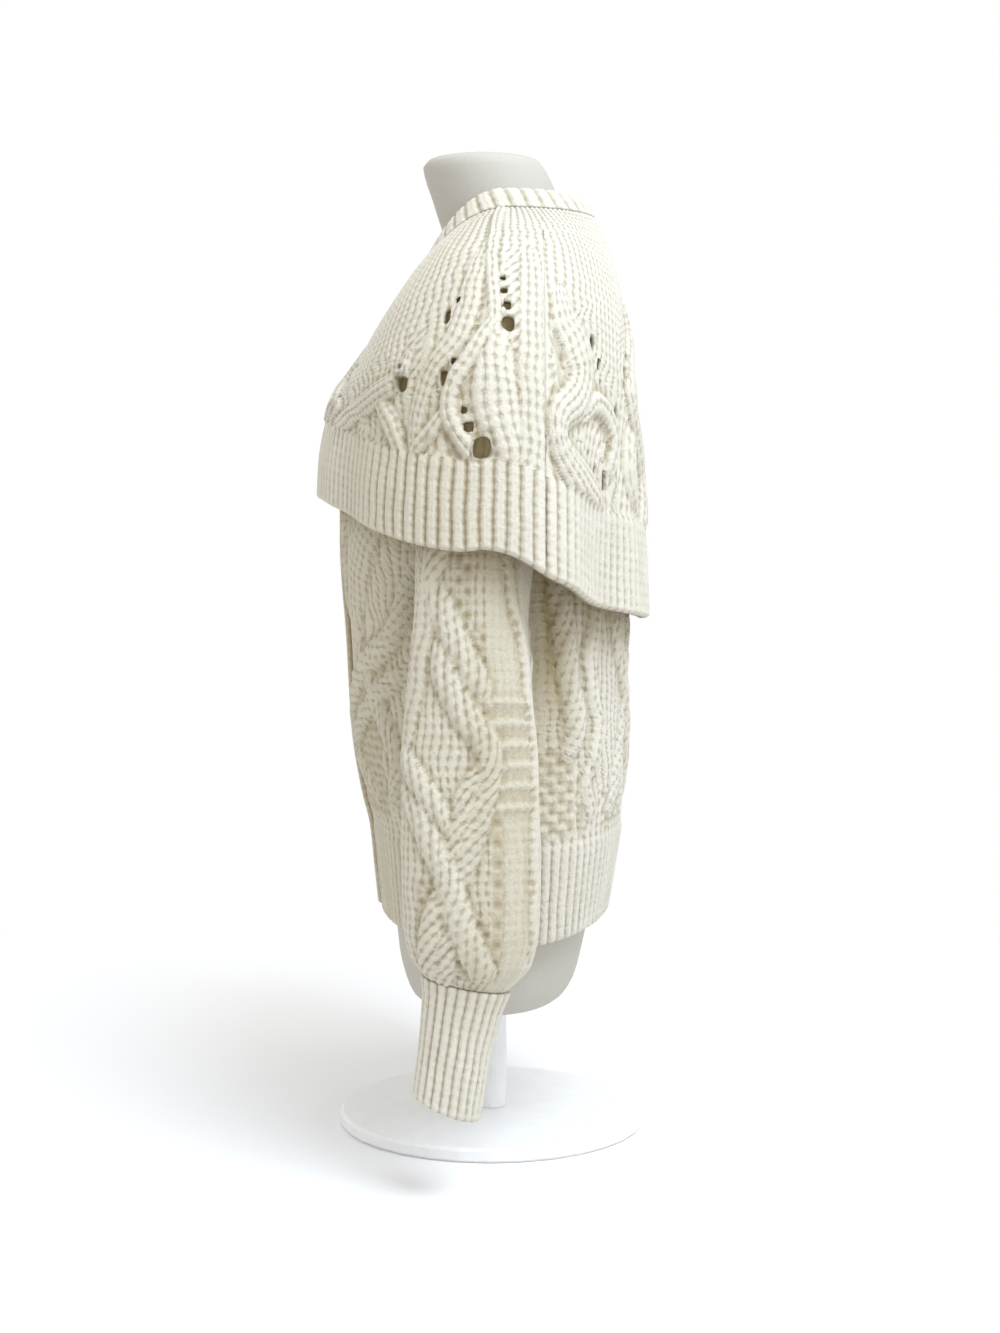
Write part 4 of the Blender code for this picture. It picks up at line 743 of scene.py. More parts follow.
def shadeShares(skin, knitting, points):
    place, along = onBothFaces(knitting.place), onBothFaces(knitting.along)
    if skin is cape or skin is neckband:
        # Painted shade on the cape's and the neckband's inner face, seen through the holes.
        shade = shading["innerFace"] * (np.arange(len(points)) >= knitting.height.size)
    else:
        # Painted shade under the cape, a little less on the sleeve.
        shade = underCape(points) * (shading["sleeveTop"] if skin is sleeve else 1)
    if skin is cape:
        # Painted shade down the cape's front, which faces away from the light.
        front = 1 - smoothStep((place - 0.215 - 0.025 * smoothStep((along - 0.7) / 0.1)) / 0.06)
        front *= 0.5 + 0.5 * smoothStep((place - 0.1) / 0.08)
        shade = np.maximum(shade, shading["capeFront"] * front)
    if skin is body:
        # Painted shade at the body's side behind the sleeve, and down its front.
        side = np.maximum(hill((place - 0.3) / 0.055), 0.8 * hill((place - 0.215) / 0.035))
        side *= smoothStep((points[:, 2] - 0.24) / 0.16)
        shade = np.maximum(shade, shading["bodySide"] * side)
        shade = np.maximum(shade, shading["bodyFront"] * (1 - smoothStep((place - 0.19) / 0.07)))
    if skin is sleeve:
        # Painted shade over the whole sleeve, and more in its fine part.
        fine = smoothStep((place - 0.22) / 0.06) * smoothStep((0.425 - place) / 0.03)
        shade = np.maximum(shade, shading["sleeve"]) + shading["sleeveFine"] * fine
    return shade


# A closed wall of knitting: a fine outer face, a plain inner face of a third of its cells each
# way, and strips that join them along every edge and round every eyelet. kept says which cells
# are there.
def wallMesh(name, skin, knitting, wall, kept=None, closed=False):
    around, along = knitting.around, knitting.along
    rows, columns = around.shape
    if kept is None:
        kept = np.ones((rows // 3, columns // 3), bool)
    outer = skin.points(around, along, knitting.height)
    inner = skin.points(around[::3, ::3], along[::3, ::3], np.full(around[::3, ::3].shape, -wall))
    fine = np.arange(rows * columns).reshape(rows, columns)
    coarse = fine.size + np.arange(inner[..., 0].size).reshape(inner.shape[:2])
    if closed:
        fine = np.concatenate([fine[:, :-1], fine[:, :1]], axis=1)
        coarse = np.concatenate([coarse[:, :-1], coarse[:, :1]], axis=1)
    fineKept = np.repeat(np.repeat(kept, 3, axis=0), 3, axis=1)

    def cells(index, mask, order):
        corners = [index[:-1, :-1], index[:-1, 1:], index[1:, 1:], index[1:, :-1]]
        return np.stack([corners[k][mask] for k in order], axis=-1)

    quads = np.concatenate([cells(fine, fineKept, (0, 1, 2, 3)), cells(coarse, kept, (0, 3, 2, 1))])
    strips = []
    level = np.pad(kept, ((1, 1), (0, 0)))
    for flipped, edge in ((True, ~level[:-1] & level[1:]), (False, level[:-1] & ~level[1:])):
        i, j = np.nonzero(edge)
        strips.append(edgeStrip([fine[3 * i, 3 * j + k] for k in range(4)],
                                [coarse[i, j], coarse[i, j + 1]], flipped))
    if closed:
        upright = np.concatenate([kept[:, -1:], kept, kept[:, :1]], axis=1)
    else:
        upright = np.pad(kept, ((0, 0), (1, 1)))
    for flipped, edge in ((False, ~upright[:, :-1] & upright[:, 1:]),
                          (True, upright[:, :-1] & ~upright[:, 1:])):
        i, j = np.nonzero(edge)
        strips.append(edgeStrip([fine[3 * i + k, 3 * j] for k in range(4)],
                                [coarse[i, j], coarse[i + 1, j]], flipped))
    triangles = np.concatenate(strips)
    points = np.concatenate([outer.reshape(-1, 3), inner.reshape(-1, 3)])
    across = 2 * np.pi * (knitting.column + knitting.sway)
    down = 2 * np.pi * knitting.stitch
    deep, crisp = knitting.deep, knitting.crisp
    # The row pattern's third number is the hollows, where the wool gets painted shade.
    patterns = {
        "wale": (deep * np.cos(across), deep * np.sin(across), knitting.purl),
        "row": (crisp * np.cos(down), crisp * np.sin(down), knitting.hollows()),
    }

    a, b, c = (points[quads[0, k]] for k in (0, 1, 2))
    facing = np.cross(b - a, c - a) @ (points[fine[0, 0]] - inner[0, 0])
    if facing < 0:
        quads, triangles = quads[:, ::-1], triangles[:, ::-1]
    used = np.zeros(len(points), bool)
    used[quads.ravel()] = used[triangles.ravel()] = True
    renumber = np.cumsum(used) - 1
    mesh = newMesh(name, points[used], renumber[quads], renumber[triangles])
    for label, values in patterns.items():
        values = onBothFaces(np.stack(values, axis=-1))[used]
        mesh.attributes.new(label, "FLOAT_VECTOR", "POINT").data.foreach_set("vector", values.ravel())
    # Each point's share of painted shade goes into the under attribute.
    shade = shadeShares(skin, knitting, points)[used]
    mesh.attributes.new("under", "FLOAT", "POINT").data.foreach_set("value", shade)
    return mesh


# Adds a piece to the scene: it rides on the one body and stands for CAD nodes.
def addPiece(name, mesh, material, nodes):
    mesh.materials.append(material)
    piece = bpy.data.objects.new(name, mesh)
    bpy.context.scene.collection.objects.link(piece)
    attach(piece, "root")
    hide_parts(*nodes)
    return piece


# A mirror image of a mesh in the plane x = 0, facing out.
def mirroredMesh(mesh, name):
    other = mesh.copy()
    other.name = name
    points = np.zeros(3 * len(other.vertices))
    other.vertices.foreach_get("co", points)
    points[::3] *= -1
    other.vertices.foreach_set("co", points)
    other.flip_normals()
    return other


# How far down an edge is rounded off: a quarter circle over a radius from the edge, just short
# of upright at the edge itself.
def roundedEdge(distance, radius, drop):
    t = 1 - np.clip(distance / radius, 0, 1)
    return drop * (1 - np.sqrt(1 - t**2 * 0.999))


# Alongs from start to end, three rows to a cell: even steps plus a sine that draws them closer
# together at the two ends.
endRow = {"height": 0.0004, "closeness": 0.3}


def rowPlaces(skin, start, end, cells):
    t = np.linspace(0, 1, 3 * cells + 1)
    bend = endRow["height"] / abs(end - start) / skin.length * 3 * cells
    spread = t + (bend - 1) * (np.sin(2 * np.pi * t) / (2 * np.pi)) * endRow["closeness"]
    return start + (end - start) * spread


# Reads material values as formulas: an operator on a Term adds the Math node that works it out.
class Term:
    def __init__(self, material, socket):
        self.material, self.socket = material, socket

    def math(self, operation, *inputs):
        node = self.material.node_tree.nodes.new("ShaderNodeMath")
        node.operation = operation
        for slot, value in enumerate(inputs):
            if isinstance(value, Term):
                self.material.node_tree.links.new(value.socket, node.inputs[slot])
            else:
                node.inputs[slot].default_value = value
        return Term(self.material, node.outputs[0])

    def __add__(self, other):
        return self.math("ADD", self, other)

    def __radd__(self, other):
        return self.math("ADD", other, self)

    def __sub__(self, other):
        return self.math("SUBTRACT", self, other)

    def __rsub__(self, other):
        return self.math("SUBTRACT", other, self)

    def __mul__(self, other):
        return self.math("MULTIPLY", self, other)

    def __rmul__(self, other):
        return self.math("MULTIPLY", other, self)

    def __truediv__(self, other):
        return self.math("DIVIDE", self, other)

    def __pow__(self, other):
        return self.math("POWER", self, other)

    def sine(self):
        return self.math("SINE", self)

    def clamped(self, low=0.0, high=1.0):
        return self.math("MINIMUM", self.math("MAXIMUM", self, low), high)


# A material's nodes: add() makes a node of any type from its settings, then its inputs.
class Surface:
    def __init__(self, name, roughness, **uniform):
        self.material = bpy.data.materials.new(name)
        self.material.use_nodes = True
        self.shader = self.material.node_tree.nodes["Principled BSDF"]
        self.shader.inputs["Roughness"].default_value = roughness
        for socket, value in uniform.items():
            self.shader.inputs[socket.replace("_", " ")].default_value = value

    def link(self, value, socket):
        if isinstance(value, Term):
            self.material.node_tree.links.new(value.socket, socket)
        else:
            socket.default_value = value

    def add(self, kind, settings, inputs, output=0):
        node = self.material.node_tree.nodes.new(kind)
        for setting, value in settings.items():
            setattr(node, setting, value)
        for socket, value in inputs.items():
            self.link(value, node.inputs[socket])
        return Term(self.material, node.outputs[output])

    def mix(self, factor, first, second):
        first, second = ((*c, 1) if isinstance(c, tuple) else c for c in (first, second))
        return self.add("ShaderNodeMix", {"data_type": "RGBA"}, {0: factor, 6: first, 7: second}, 2)

    def noise(self, scale):
        place = self.add("ShaderNodeTexCoord", {}, {}, "Object")
        return self.add("ShaderNodeTexNoise", {}, {"Vector": place, "Scale": scale, "Detail": 2.0})

    # The three numbers of a mesh's vector attribute.
    def attribute(self, name):
        vector = self.add("ShaderNodeAttribute", {"attribute_name": name}, {}, "Vector")
        split = self.add("ShaderNodeSeparateXYZ", {}, {0: vector}).socket.node
        return [Term(self.material, split.outputs[k]) for k in range(3)]

    def set(self, socket, value):
        self.link(value, self.shader.inputs[socket])

    def bump(self, height, distance, strength):
        self.set("Normal", self.add("ShaderNodeBump", {}, {
            "Strength": strength, "Distance": distance, "Height": height}))


# The wool's own colour, lit; shade, the colour of the painted shade between and in the stitches, which
# the mottle noise also mixes in at random; deep, a darker painted shade under the cape, on its inner
# face, down the fronts and at the sides; and the colour of a painted glow under the cape, as of light
# through the holes. Then noise scales and the bump's distance.
woolLook = {
    "lit": (0.625, 0.59, 0.495), "shade": (0.32, 0.262, 0.148), "deep": (0.29, 0.222, 0.092),
    "glow": (0.09, 0.072, 0.033), "fibre": 1500.0, "fuzz": 420.0, "uneven": 105.0, "mottle": 24.0,
    "bumpDistance": 0.0013,
}


# Wool: each stitch is a V of two legs. The mesh gives the cosine and sine of how far the place is
# through its knit column and through its stitch, smaller where they show less. edge is half of 1
# less the column's cosine, 0 between columns. drops is the root of half of 1 less the cosine of
# the stitch's angle, which turns with the way to the column's middle. legs is edge to a power
# that drops lessens and a noise varies, so that the columns part in uneven rows of dots. Purl
# places show level bars instead. The colour goes from lit to a painted shade between the legs, in
# hollows and on purl places, where real shade would fall, and to deep, a darker painted shade,
# where the mesh's under attribute is high. There the wool also gets a faint painted glow, as of
# light through the holes.
def woolMaterial(name, look):
    wool = Surface(name, 0.92, Sheen_Weight=0.15, Sheen_Roughness=0.6)
    waleCos, waleSin, purl = wool.attribute("wale")
    rowCos, rowSin, hollow = wool.attribute("row")
    under = wool.add("ShaderNodeAttribute", {"attribute_name": "under"}, {}, "Fac")
    uneven, fibre, fuzz = (wool.noise(look[size]) for size in ("uneven", "fibre", "fuzz"))
    waleCos = waleCos / ((waleCos * waleCos + waleSin * waleSin) ** 0.5).clamped(0.7, 1.0)
    rowSize = ((rowCos * rowCos + rowSin * rowSin) ** 0.5).clamped(0.6, 1.0)
    outward = 0.9 * (math.pi - waleCos.clamped(-1, 1).math("ARCCOSINE"))
    turned = (rowCos * outward.math("COSINE") - rowSin * outward.sine()) / rowSize
    drops = (0.5 - turned.clamped(-1, 1) * 0.5) ** 0.5
    edge = (0.501 - waleCos * 0.5).clamped()
    legs = edge ** ((0.72 - drops * 0.62) * (uneven + 0.5))
    knit = legs * (1 - edge ** 10 * 0.12) * (drops * 0.12 + 0.88)
    bars = (0.5 - (rowCos / rowSize).clamped(-1, 1) * 0.5) ** 0.4 * 0.4 + legs * 0.4
    height = knit * (1 - purl) + bars * purl
    # depth is the share of painted shade in the hollows, between the legs and on purl places.
    depth = hollow.clamped() * 0.42 + (1 - height) ** 1.6 * 0.64 + purl * 0.16
    depth = (depth + (fuzz - 0.5) * 0.6 - 0.02).clamped()
    mottle = ((wool.noise(look["mottle"]) - 0.4) * 1.2).clamped() * 0.3
    # shaded is the share of deep, a darker painted shade, from the under attribute.
    shaded = ((under - 0.05) * 2.6).clamped() ** 1.4
    base = wool.mix(mottle, wool.mix(depth, look["lit"], look["shade"]), look["shade"])
    wool.set("Base Color", wool.mix(shaded * (depth * 0.4 + 0.6), base, look["deep"]))
    # A painted glow, as of light through the holes, where the under attribute is high.
    wool.set("Emission Color", wool.mix(((under - 0.6) * 3.0).clamped(), (0.0, 0.0, 0.0), look["glow"]))
    wool.set("Emission Strength", 1.0)
    wool.bump(height + fibre * 0.3 + fuzz * 0.7, look["bumpDistance"], 1.0)
    return wool.material


# A plain finish: its colour goes a tenth darker, and its surface dips, with a noise.
def plainMaterial(name, colour, roughness, grain, **uniform):
    surface = Surface(name, roughness, **uniform)
    tint = surface.noise(grain)
    darker = tuple(0.9 * value for value in colour)
    surface.set("Base Color", surface.mix(tint, colour, darker))
    surface.bump(tint, 0.0002, 0.3)
    return surface.material


woolMat = woolMaterial("cream wool", woolLook)
formMat = plainMaterial("form cover", (0.47, 0.445, 0.385), roughness=0.75, grain=350.0)
paintMat = plainMaterial("stand paint", (0.82, 0.82, 0.81), roughness=0.42, grain=60.0)
print("materials made")

body = Skin(bodyRings, ringColumns, levelRing, bodyFolds)
cape = Skin(capeRings, ringColumns, levelRing, capeFolds)
neckband = Skin(neckbandRings, ringColumns, levelRing)
form = Skin(formRings, ringColumns, levelRing)
sleeve = Skin(sleeveRings, sleeveColumns, sleeveRing)
cuff = Skin(cuffRings, sleeveColumns, sleeveRing)

# The sleeve's inner back bellies out towards the back under the cape: a hill round the sleeve
# times a hill along it.
belly = {"around": 0.64, "halfWidth": 0.15, "along": 0.33, "halfLength": 0.33, "depth": 0.012}
swell = hill((sleeve.arounds - belly["around"]) / belly["halfWidth"])[None, :]
swell = swell * hill((sleeve.alongs - belly["along"]) / belly["halfLength"])[:, None]
sleeve.grid[..., 1] += belly["depth"] * swell
sleeve.normals = sleeve.gridNormals()

# The cape's hem is drawn up where the fold starts at the side: a hill round it times a ramp.
drawnUp = {"around": 0.266, "halfWidth": 0.03, "start": 0.6, "rise": 0.006}
drawn = hill((np.minimum(cape.arounds, 1 - cape.arounds) - drawnUp["around"]) / drawnUp["halfWidth"])
ramp = smoothStep((cape.alongs - drawnUp["start"]) / (1 - drawnUp["start"]))
cape.grid[..., 2] += drawnUp["rise"] * drawn[None, :] * ramp[:, None]
cape.normals = cape.gridNormals()
print("skins made")


# A panel's grid: the around and along of each place, and the share of the way across it.
def panelGrid(start, end, alongs, cells):
    share = np.linspace(0, 1, 3 * cells + 1)[None, :] + 0 * alongs[:, None]
    starts = np.array([start(v) for v in alongs])[:, None]
    ends = np.array([end(v) for v in alongs])[:, None]
    return starts + (ends - starts) * share, alongs[:, None] + 0 * share, share


# Opens eyelets in a grid. Each takes out whole cells, and the corners near it are moved so that
# the rectangle becomes an oval: x times the root of 1 less squareness times y squared, and y alike.
eyeletCut = {"scale": 1.15, "squareness": 0.42, "reach": 1.9, "ringWidth": 0.45, "border": 0.004}


def openEyelets(skin, around, along, kept):
    rows, columns = around.shape
    i, j = np.meshgrid(np.arange(rows), np.arange(columns), indexing="ij")
    newAround, newAlong, ring = around.copy(), along.copy(), np.zeros(around.shape)
    slope = np.sign(along[1, 0] - along[0, 0])
    border, reach = eyeletCut["border"], eyeletCut["reach"]
    for row in namedRows(eyeletColumns, eyelets):
        for place in (row["around"], 1 - row["around"]):
            level = int(np.abs(along[:, 0] - row["along"]).argmin())
            if not around[level, 0] + border < place < around[level, -1] - border:
                continue
            column = int(np.abs(around[level] - place).argmin())
            girth = float(skin.girthAt(row["along"]))
            cellWide = (around[level, column + 1] - around[level, column]) * girth
            cellHigh = abs(along[level + 1, 0] - along[level, 0]) * skin.length
            wide = max(1, round(row["width"] / cellWide / 3 - 0.3))
            tallest = max(1, round(row["height"] / cellHigh / 3 - 0.3))
            left = round((column - 1.5 * wide) / 3)
            # Fewer rows are taken out where a tall eyelet would run into another one.
            for high in range(tallest, 0, -1):
                top = round((level - 1.5 * high) / 3)
                if kept[top - 1 : top + high + 1, left - 1 : left + wide + 1].all():
                    break
            else:
                continue
            kept[top : top + high, left : left + wide] = False
            x = (j - 3 * left - 1.5 * wide) / (1.5 * wide)
            y = (i - 3 * top - 1.5 * high) / (1.5 * high)
            far = np.maximum(np.abs(x), np.abs(y))
            blend = smoothStep((reach - far) / (reach - 1)) * (far < reach)
            size = np.maximum(far, 1e-6)
            x, y = x / size, y / size
            ovalX = x * np.sqrt(1 - eyeletCut["squareness"] * y**2) * size * eyeletCut["scale"]
            ovalY = y * np.sqrt(1 - eyeletCut["squareness"] * x**2) * size * eyeletCut["scale"]
            newAround += blend * (place + ovalX * row["width"] / 2 / girth - around)
            newAlong += blend * (row["along"] + ovalY * slope * row["height"] / 2 / skin.length - along)
            ring = np.maximum(ring, hill((far - 1.35) / eyeletCut["ringWidth"]))
    return newAround, newAlong, ring


# Adds a knitted panel, or the left one of a pair and its mirror image.
def addKnit(node, mesh):
    piece = addPiece(node + "_knit", mesh, woolMat, [node])


def addPair(name, mesh):
    mirrored = mirroredMesh(mesh, name + "_right")
    addKnit(name + "_left", mesh)
    addKnit(name + "_right", mirrored)


# The cape: its back and its two fronts meet at seams on the shoulders, seamY behind the middle.
capeKnit = {
    "cellsAlong": 72, "columnWidth": 0.0084, "waleRise": 0.001, "wall": 0.0045, "ribWidth": 0.0102,
    "ribRise": 0.0026, "ribStart": 0.03, "ribBlend": 0.022, "hemRound": (0.003, 0.003),
    "frontRound": (0.0026, 0.0016), "seamY": 0.04, "frontX": 0.0006,
}
capeBack = {"cells": 115, "flat": (0.62, 0.33), "area": 0.16}
capeFront = {"cells": 75, "flat": (0.4, 0.29), "area": 0.09}
seamGap = 0.0003
halfGap = seamGap / 2 / float(cape.girthAt(0.6))


def capePiece(name, start, end, cells):
    alongs = rowPlaces(cape, 1.0, 0.0, capeKnit["cellsAlong"])
    around, along, share = panelGrid(start, end, alongs, cells)
    kept = np.ones((capeKnit["cellsAlong"], cells), bool)
    around, along, ring = openEyelets(cape, around, along, kept)
    knitting = Knitting(cape, around, along, capeKnit["columnWidth"])
    knitting.bendGround(capeStrands)
    knitting.addFans(capeFans)
    knitting.addWales(capeKnit["waleRise"])
    knitting.addStrands(capeStrands)
    knitting.addSlits(capeSlits)
    ribTop = cape.place("rib top") - capeKnit["ribStart"]
    ribs = round(cape.girths[-1] * (end(1.0) - start(1.0)) / capeKnit["ribWidth"])
    weight = smoothStep((along - ribTop) / capeKnit["ribBlend"])
    knitting.addRibs(share, ribs, capeKnit["ribRise"], weight)
    knitting.height *= 1 - 0.6 * ring  # lower round an eyelet
    knitting.height -= roundedEdge((1 - along) * cape.length, *capeKnit["hemRound"])
    if name == "cape_front_left":
        sideways = share * (end(0.6) - start(0.6)) * knitting.girth
        knitting.height -= roundedEdge(sideways, *capeKnit["frontRound"])
    return wallMesh(name, cape, knitting, capeKnit["wall"], kept)


def capeSeam(v):
    return cape.aroundAt(1, capeKnit["seamY"], v)


backMesh = capePiece("cape_back", lambda v: capeSeam(v) + halfGap, lambda v: 1 - capeSeam(v) - halfGap,
                     capeBack["cells"])
frontMesh = capePiece("cape_front_left", lambda v: cape.aroundAt(0, capeKnit["frontX"], v),
                      lambda v: capeSeam(v) - halfGap, capeFront["cells"])
addKnit("cape_back", backMesh)
addPair("cape_front", frontMesh)
print("cape made")

# The body: its back and fronts meet at the sides, and part round the armholes.
armhole = {"y": 0.006, "z": 0.614, "halfDepth": 0.048, "halfHeight": 0.061}
bodyKnit = {
    "cellsAlong": 96, "columnWidth": 0.0084, "waleRise": 0.001, "wall": 0.004, "ribWidth": 0.008,
    "ribRise": 0.0024, "ribBlend": 0.026, "hemRound": (0.003, 0.003), "sideRound": (0.0024, 0.0012),
    "flatAround": 0.28, "flatHalfWidth": 0.042, "flatStart": 0.26, "frontX": 0.0153,
}
bodyBack = {"cells": 72, "plainRibs": 0, "flat": (0.46, 0.6), "area": 0.235}
bodyFront = {"cells": 34, "plainRibs": 3, "flat": (0.24, 0.58), "area": 0.105}


# The around of the side seam, or beside the armhole of its oval edge, behind it (side is 1) or
# before it (side is -1).
def sideEdge(v, side):
    height = float(body.grid[int(round(v * (body.fineAlong - 1))), body.fineAround // 4, 2])
    share = (height - armhole["z"]) / armhole["halfHeight"]
    reach = max(armhole["halfDepth"] * math.sqrt(max(0.0, 1 - share**2)), seamGap / 2)
    return body.aroundAt(1, armhole["y"] + side * reach, v)


def bodyPiece(name, start, end, cut):
    alongs = rowPlaces(body, 0.0, 1.0, bodyKnit["cellsAlong"])
    around, along, share = panelGrid(start, end, alongs, cut["cells"])
    knitting = Knitting(body, around, along, bodyKnit["columnWidth"])
    knitting.bendGround(bodyStrands)
    knitting.addWales(bodyKnit["waleRise"])
    # Beside the sleeve it is knitted flat.
    beside = hill((knitting.place - bodyKnit["flatAround"]) / bodyKnit["flatHalfWidth"])
    knitting.calm(beside * smoothStep((along - bodyKnit["flatStart"]) / 0.03))
    knitting.addSeed(bodySeed)
    knitting.addStrands(bodyStrands)
    knitting.addSlits(bodySlits)
    weight = 1 - smoothStep((along - body.place("rib top")) / bodyKnit["ribBlend"])
    ribs = round(body.girths[0] * (end(0.0) - start(0.0)) / bodyKnit["ribWidth"])
    knitting.addRibs(share, ribs, bodyKnit["ribRise"], weight, cut["plainRibs"])
    points = body.points(around, along, 0 * around)
    away = np.hypot((points[..., 1] - armhole["y"]) / armhole["halfDepth"],
                    (points[..., 2] - armhole["z"]) / armhole["halfHeight"])
    knitting.height *= 0.1 + 0.9 * smoothStep((away - 1.5) / 0.4)  # low at the armhole
    knitting.height -= roundedEdge(along * body.length, *bodyKnit["hemRound"])
    sideways = np.minimum(share, 1 - share) * (end(0.2) - start(0.2)) * knitting.girth
    knitting.height -= roundedEdge(sideways, *bodyKnit["sideRound"])
    return wallMesh(name, body, knitting, bodyKnit["wall"])


backMesh = bodyPiece("back", lambda v: sideEdge(v, 1), lambda v: 1 - sideEdge(v, 1), bodyBack)
frontMesh = bodyPiece("front_left", lambda v: body.aroundAt(0, bodyKnit["frontX"], v),
                      lambda v: sideEdge(v, -1), bodyFront)
addKnit("back", backMesh)
addPair("front", frontMesh)
print("body made")

# The front bands: from low to high across the centre front, base above the body's skin.
bandKnit = {
    "cellsAlong": 90, "cellsAcross": 8, "columnWidth": 0.0055, "ribs": 3, "thickness": 0.004,
    "sideRound": (0.002, 0.002), "endRound": (0.0025, 0.002), "flat": (0.035, 0.58),
}
bands = {
    "front_band_under": {"low": -0.015, "high": 0.015, "base": -0.004, "ribRise": 0.0002, "last": 1.0},
    "front_band_top": {"low": -0.0205, "high": 0.013, "base": 0.0006, "ribRise": 0.0012, "last": 0.985},
}


def bandPiece(name, band):
    low, high, last = band["low"], band["high"], band["last"]
    alongs = rowPlaces(body, 0.0, last, bandKnit["cellsAlong"])
    around, along, share = panelGrid(lambda v: -body.aroundAt(0, -low, v),
                                     lambda v: body.aroundAt(0, high, v), alongs, bandKnit["cellsAcross"])
    knitting = Knitting(body, around, along, bandKnit["columnWidth"])
    knitting.addRibs(share, bandKnit["ribs"], band["ribRise"])
    knitting.height += band["base"] + bandKnit["thickness"]
    sideways = np.minimum(share, 1 - share) * (high - low)
    knitting.height -= roundedEdge(sideways, *bandKnit["sideRound"])
    knitting.height -= roundedEdge(np.minimum(along, last - along) * body.length, *bandKnit["endRound"])
    return wallMesh(name, body, knitting, -band["base"])


for node, band in bands.items():
    addKnit(node, bandPiece(node, band))
print("bands made")


# A tube's grid, closed round the arm: around and along.
def tubeGrid(skin, knit):
    alongs = rowPlaces(skin, 0.0, 1.0, knit["cellsAlong"])
    return panelGrid(lambda v: 0.0, lambda v: 1.0, alongs, knit["cellsAround"])[:2]


sleeveKnit = {
    "cellsAlong": 95, "cellsAround": 50, "columnWidth": 0.007, "waleRise": 0.0008, "wall": 0.004,
    "fineStart": 0.285, "fineEnd": 0.62, "flat": (0.3, 0.5),
}
sleeveWelts = {"low": 0.5315, "high": 0.7205, "start": 0.27, "end": 0.435, "count": 6, "rise": 0.0026}
around, along = tubeGrid(sleeve, sleeveKnit)
knitting = Knitting(sleeve, around, along, sleeveKnit["columnWidth"], twoSided=False)
knitting.addWales(sleeveKnit["waleRise"])
# Its back half is knitted fine and flat.
fine = smoothStep((around - sleeveKnit["fineStart"]) / 0.02)
knitting.calm(fine * smoothStep((sleeveKnit["fineEnd"] - around) / 0.02))
knitting.addSeed(sleeveSeed)
knitting.addWelts(**sleeveWelts)
knitting.addStrands(sleeveStrands)
knitting.height *= 0.1 + 0.9 * smoothStep((along - 0.02) / 0.08)  # low at the armhole
sleeveMesh = wallMesh("sleeve_left", sleeve, knitting, sleeveKnit["wall"], closed=True)
addPair("sleeve", sleeveMesh)

cuffKnit = {
    "cellsAlong": 20, "cellsAround": 38, "columnWidth": 0.0055, "ribWidth": 0.0075, "ribRise": 0.0019,
    "wall": 0.0035, "edgeRound": (0.0028, 0.0026), "seamRise": 0.0016, "flat": (0.17, 0.09),
}
around, along = tubeGrid(cuff, cuffKnit)
knitting = Knitting(cuff, around, along, cuffKnit["columnWidth"], twoSided=False)
ribs = round(cuff.girths[0] / cuffKnit["ribWidth"])
knitting.addRibs(around, ribs, cuffKnit["ribRise"])
knitting.height -= roundedEdge((1 - along) * cuff.length, *cuffKnit["edgeRound"])
knitting.height += cuffKnit["seamRise"] * smoothStep(1 - along / 0.16)
cuffMesh = wallMesh("cuff_left", cuff, knitting, cuffKnit["wall"], closed=True)
addPair("cuff", cuffMesh)
print("sleeves made")

neckKnit = {
    "cellsAlong": 5, "cellsAcross": 110, "columnWidth": 0.0055, "ribWidth": 0.0125, "ribRise": 0.0014,
    "wall": 0.004, "edgeRound": (0.0028, 0.0026), "frontX": 0.0006, "flat": (0.5, 0.022),
}
neckStart = neckband.aroundAt(0, neckKnit["frontX"], 0.5)
alongs = rowPlaces(neckband, 0, 1, neckKnit["cellsAlong"])
around, along, share = panelGrid(lambda v: neckStart, lambda v: 1 - neckStart, alongs,
                                 neckKnit["cellsAcross"])
knitting = Knitting(neckband, around, along, neckKnit["columnWidth"])
ribs = round(neckband.girths[neckband.fineAlong // 2] / neckKnit["ribWidth"])
knitting.addRibs(share, ribs, neckKnit["ribRise"])
knitting.height -= roundedEdge((1 - along) * neckband.length, *neckKnit["edgeRound"])
addKnit("neckband", wallMesh("neckband", neckband, knitting, neckKnit["wall"]))
print("neckband made")


# A smooth closed skin with flat ends: each end is a fan of triangles round the ring's middle.
def solidSkin(name, skin, rows, columns):
    alongs = np.linspace(0, 1, rows)[:, None] + 0 * np.arange(columns)[None, :]
    arounds = np.arange(columns)[None, :] / columns + 0 * alongs
    points = skin.points(arounds, alongs, 0 * alongs).reshape(-1, 3)
    index = np.arange(rows * columns).reshape(rows, columns)
    after = np.roll(index, -1, axis=1)
    quads = np.stack([index[:-1], after[:-1], after[1:], index[1:]], axis=-1).reshape(-1, 4)
    ends = []
    for ring, flipped in ((0, True), (rows - 1, False)):
        centre = len(points)
        points = np.concatenate([points, points[index[ring]].mean(axis=0, keepdims=True)])
        fan = np.stack([index[ring], after[ring], np.full(columns, centre)], axis=-1)
        ends.append(fan[:, ::-1] if flipped else fan)
    return newMesh(name, points, quads, np.concatenate(ends))


addPiece("form_body", solidSkin("form_torso", form, 121, 120), formMat, ["form_torso"])
for node in ("form_flange", "form_pole", "form_foot"):
    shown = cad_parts[node]
    shown.data.materials.clear()
    shown.data.materials.append(paintMat)
print("form made")

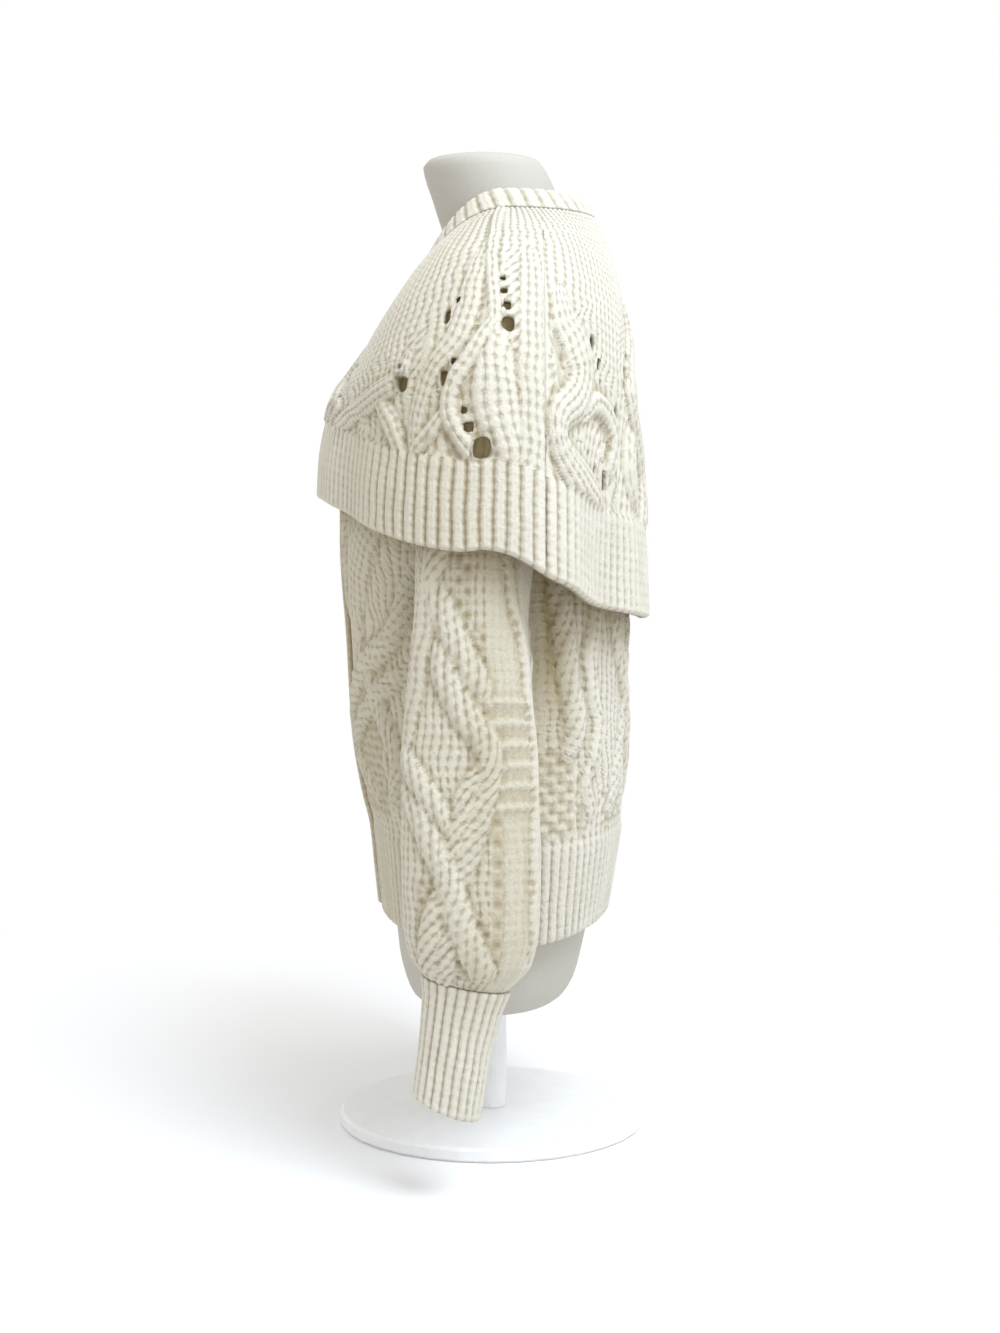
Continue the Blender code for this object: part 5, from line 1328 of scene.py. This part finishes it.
# The studio: a wide floor, matt near the stand and fading to the same white as the air round it.
studio = {"reach": 8.0, "floor": (0.86, 0.86, 0.86), "fadeStart": 0.25, "fadeWidth": 0.8}
black, white = (0.0, 0.0, 0.0), (1.0, 1.0, 1.0)
corners = studio["reach"] * np.array([[-1, -1, 0], [1, -1, 0], [1, 1, 0], [-1, 1, 0]])
floorMesh = newMesh("studio", corners, np.array([[0, 1, 2, 3]]), np.zeros((0, 3), int))
backdrop = Surface("studio white", 0.9)
place = backdrop.add("ShaderNodeTexCoord", {}, {}, "Object")
distance = backdrop.add("ShaderNodeVectorMath", {"operation": "LENGTH"}, {0: place}, "Value")
fade = ((distance - studio["fadeStart"]) / studio["fadeWidth"]).clamped()
backdrop.set("Base Color", backdrop.mix(fade, studio["floor"], black))
backdrop.set("Emission Color", backdrop.mix(fade, black, white))
backdrop.set("Emission Strength", 1.0)
backdrop.set("Specular IOR Level", 0.0)
floorMesh.materials.append(backdrop.material)
stage = bpy.data.objects.new("studio", floorMesh)
bpy.context.scene.collection.objects.link(stage)

# Daylight from above and behind the wearer's left, in white air.
keyLight = {"place": (1.25, 0.85, 2.3), "target": (0.0, 0.0, 0.55), "size": 1.5, "power": 60,
            "colour": (0.76, 0.86, 1.0)}
light = bpy.data.lights.new("key", "AREA")
light.shape = "DISK"
light.size = keyLight["size"]
light.energy = keyLight["power"]
light.color = keyLight["colour"]
lamp = bpy.data.objects.new("key", light)
lamp.location = keyLight["place"]
aim = Vector(keyLight["target"]) - Vector(keyLight["place"])
lamp.rotation_euler = aim.to_track_quat("-Z", "Y").to_euler()
bpy.context.scene.collection.objects.link(lamp)

world = bpy.data.worlds.new("studio air")
world.use_nodes = True
world.node_tree.nodes["Background"].inputs["Color"].default_value = (*white, 1)
world.node_tree.nodes["Background"].inputs["Strength"].default_value = 1.0
bpy.context.scene.world = world

# The camera looks at the wearer's left from far metres away, and pitch degrees down.
cameraView = {"pitch": 3.3, "far": 1.7, "y": 0.007, "height": 0.389, "lens": 54.18, "sensor": 36}
pitch = math.radians(cameraView["pitch"])
camera = bpy.data.cameras.new("camera")
camera.lens = cameraView["lens"]
camera.sensor_width = cameraView["sensor"]
view = bpy.data.objects.new("camera", camera)
view.location = (cameraView["far"], cameraView["y"],
                 cameraView["height"] + cameraView["far"] * math.tan(pitch))
view.rotation_euler = (math.pi / 2 - pitch, 0, math.pi / 2)
bpy.context.scene.collection.objects.link(view)
bpy.context.scene.camera = view
bpy.context.scene.view_settings.view_transform = "Standard"
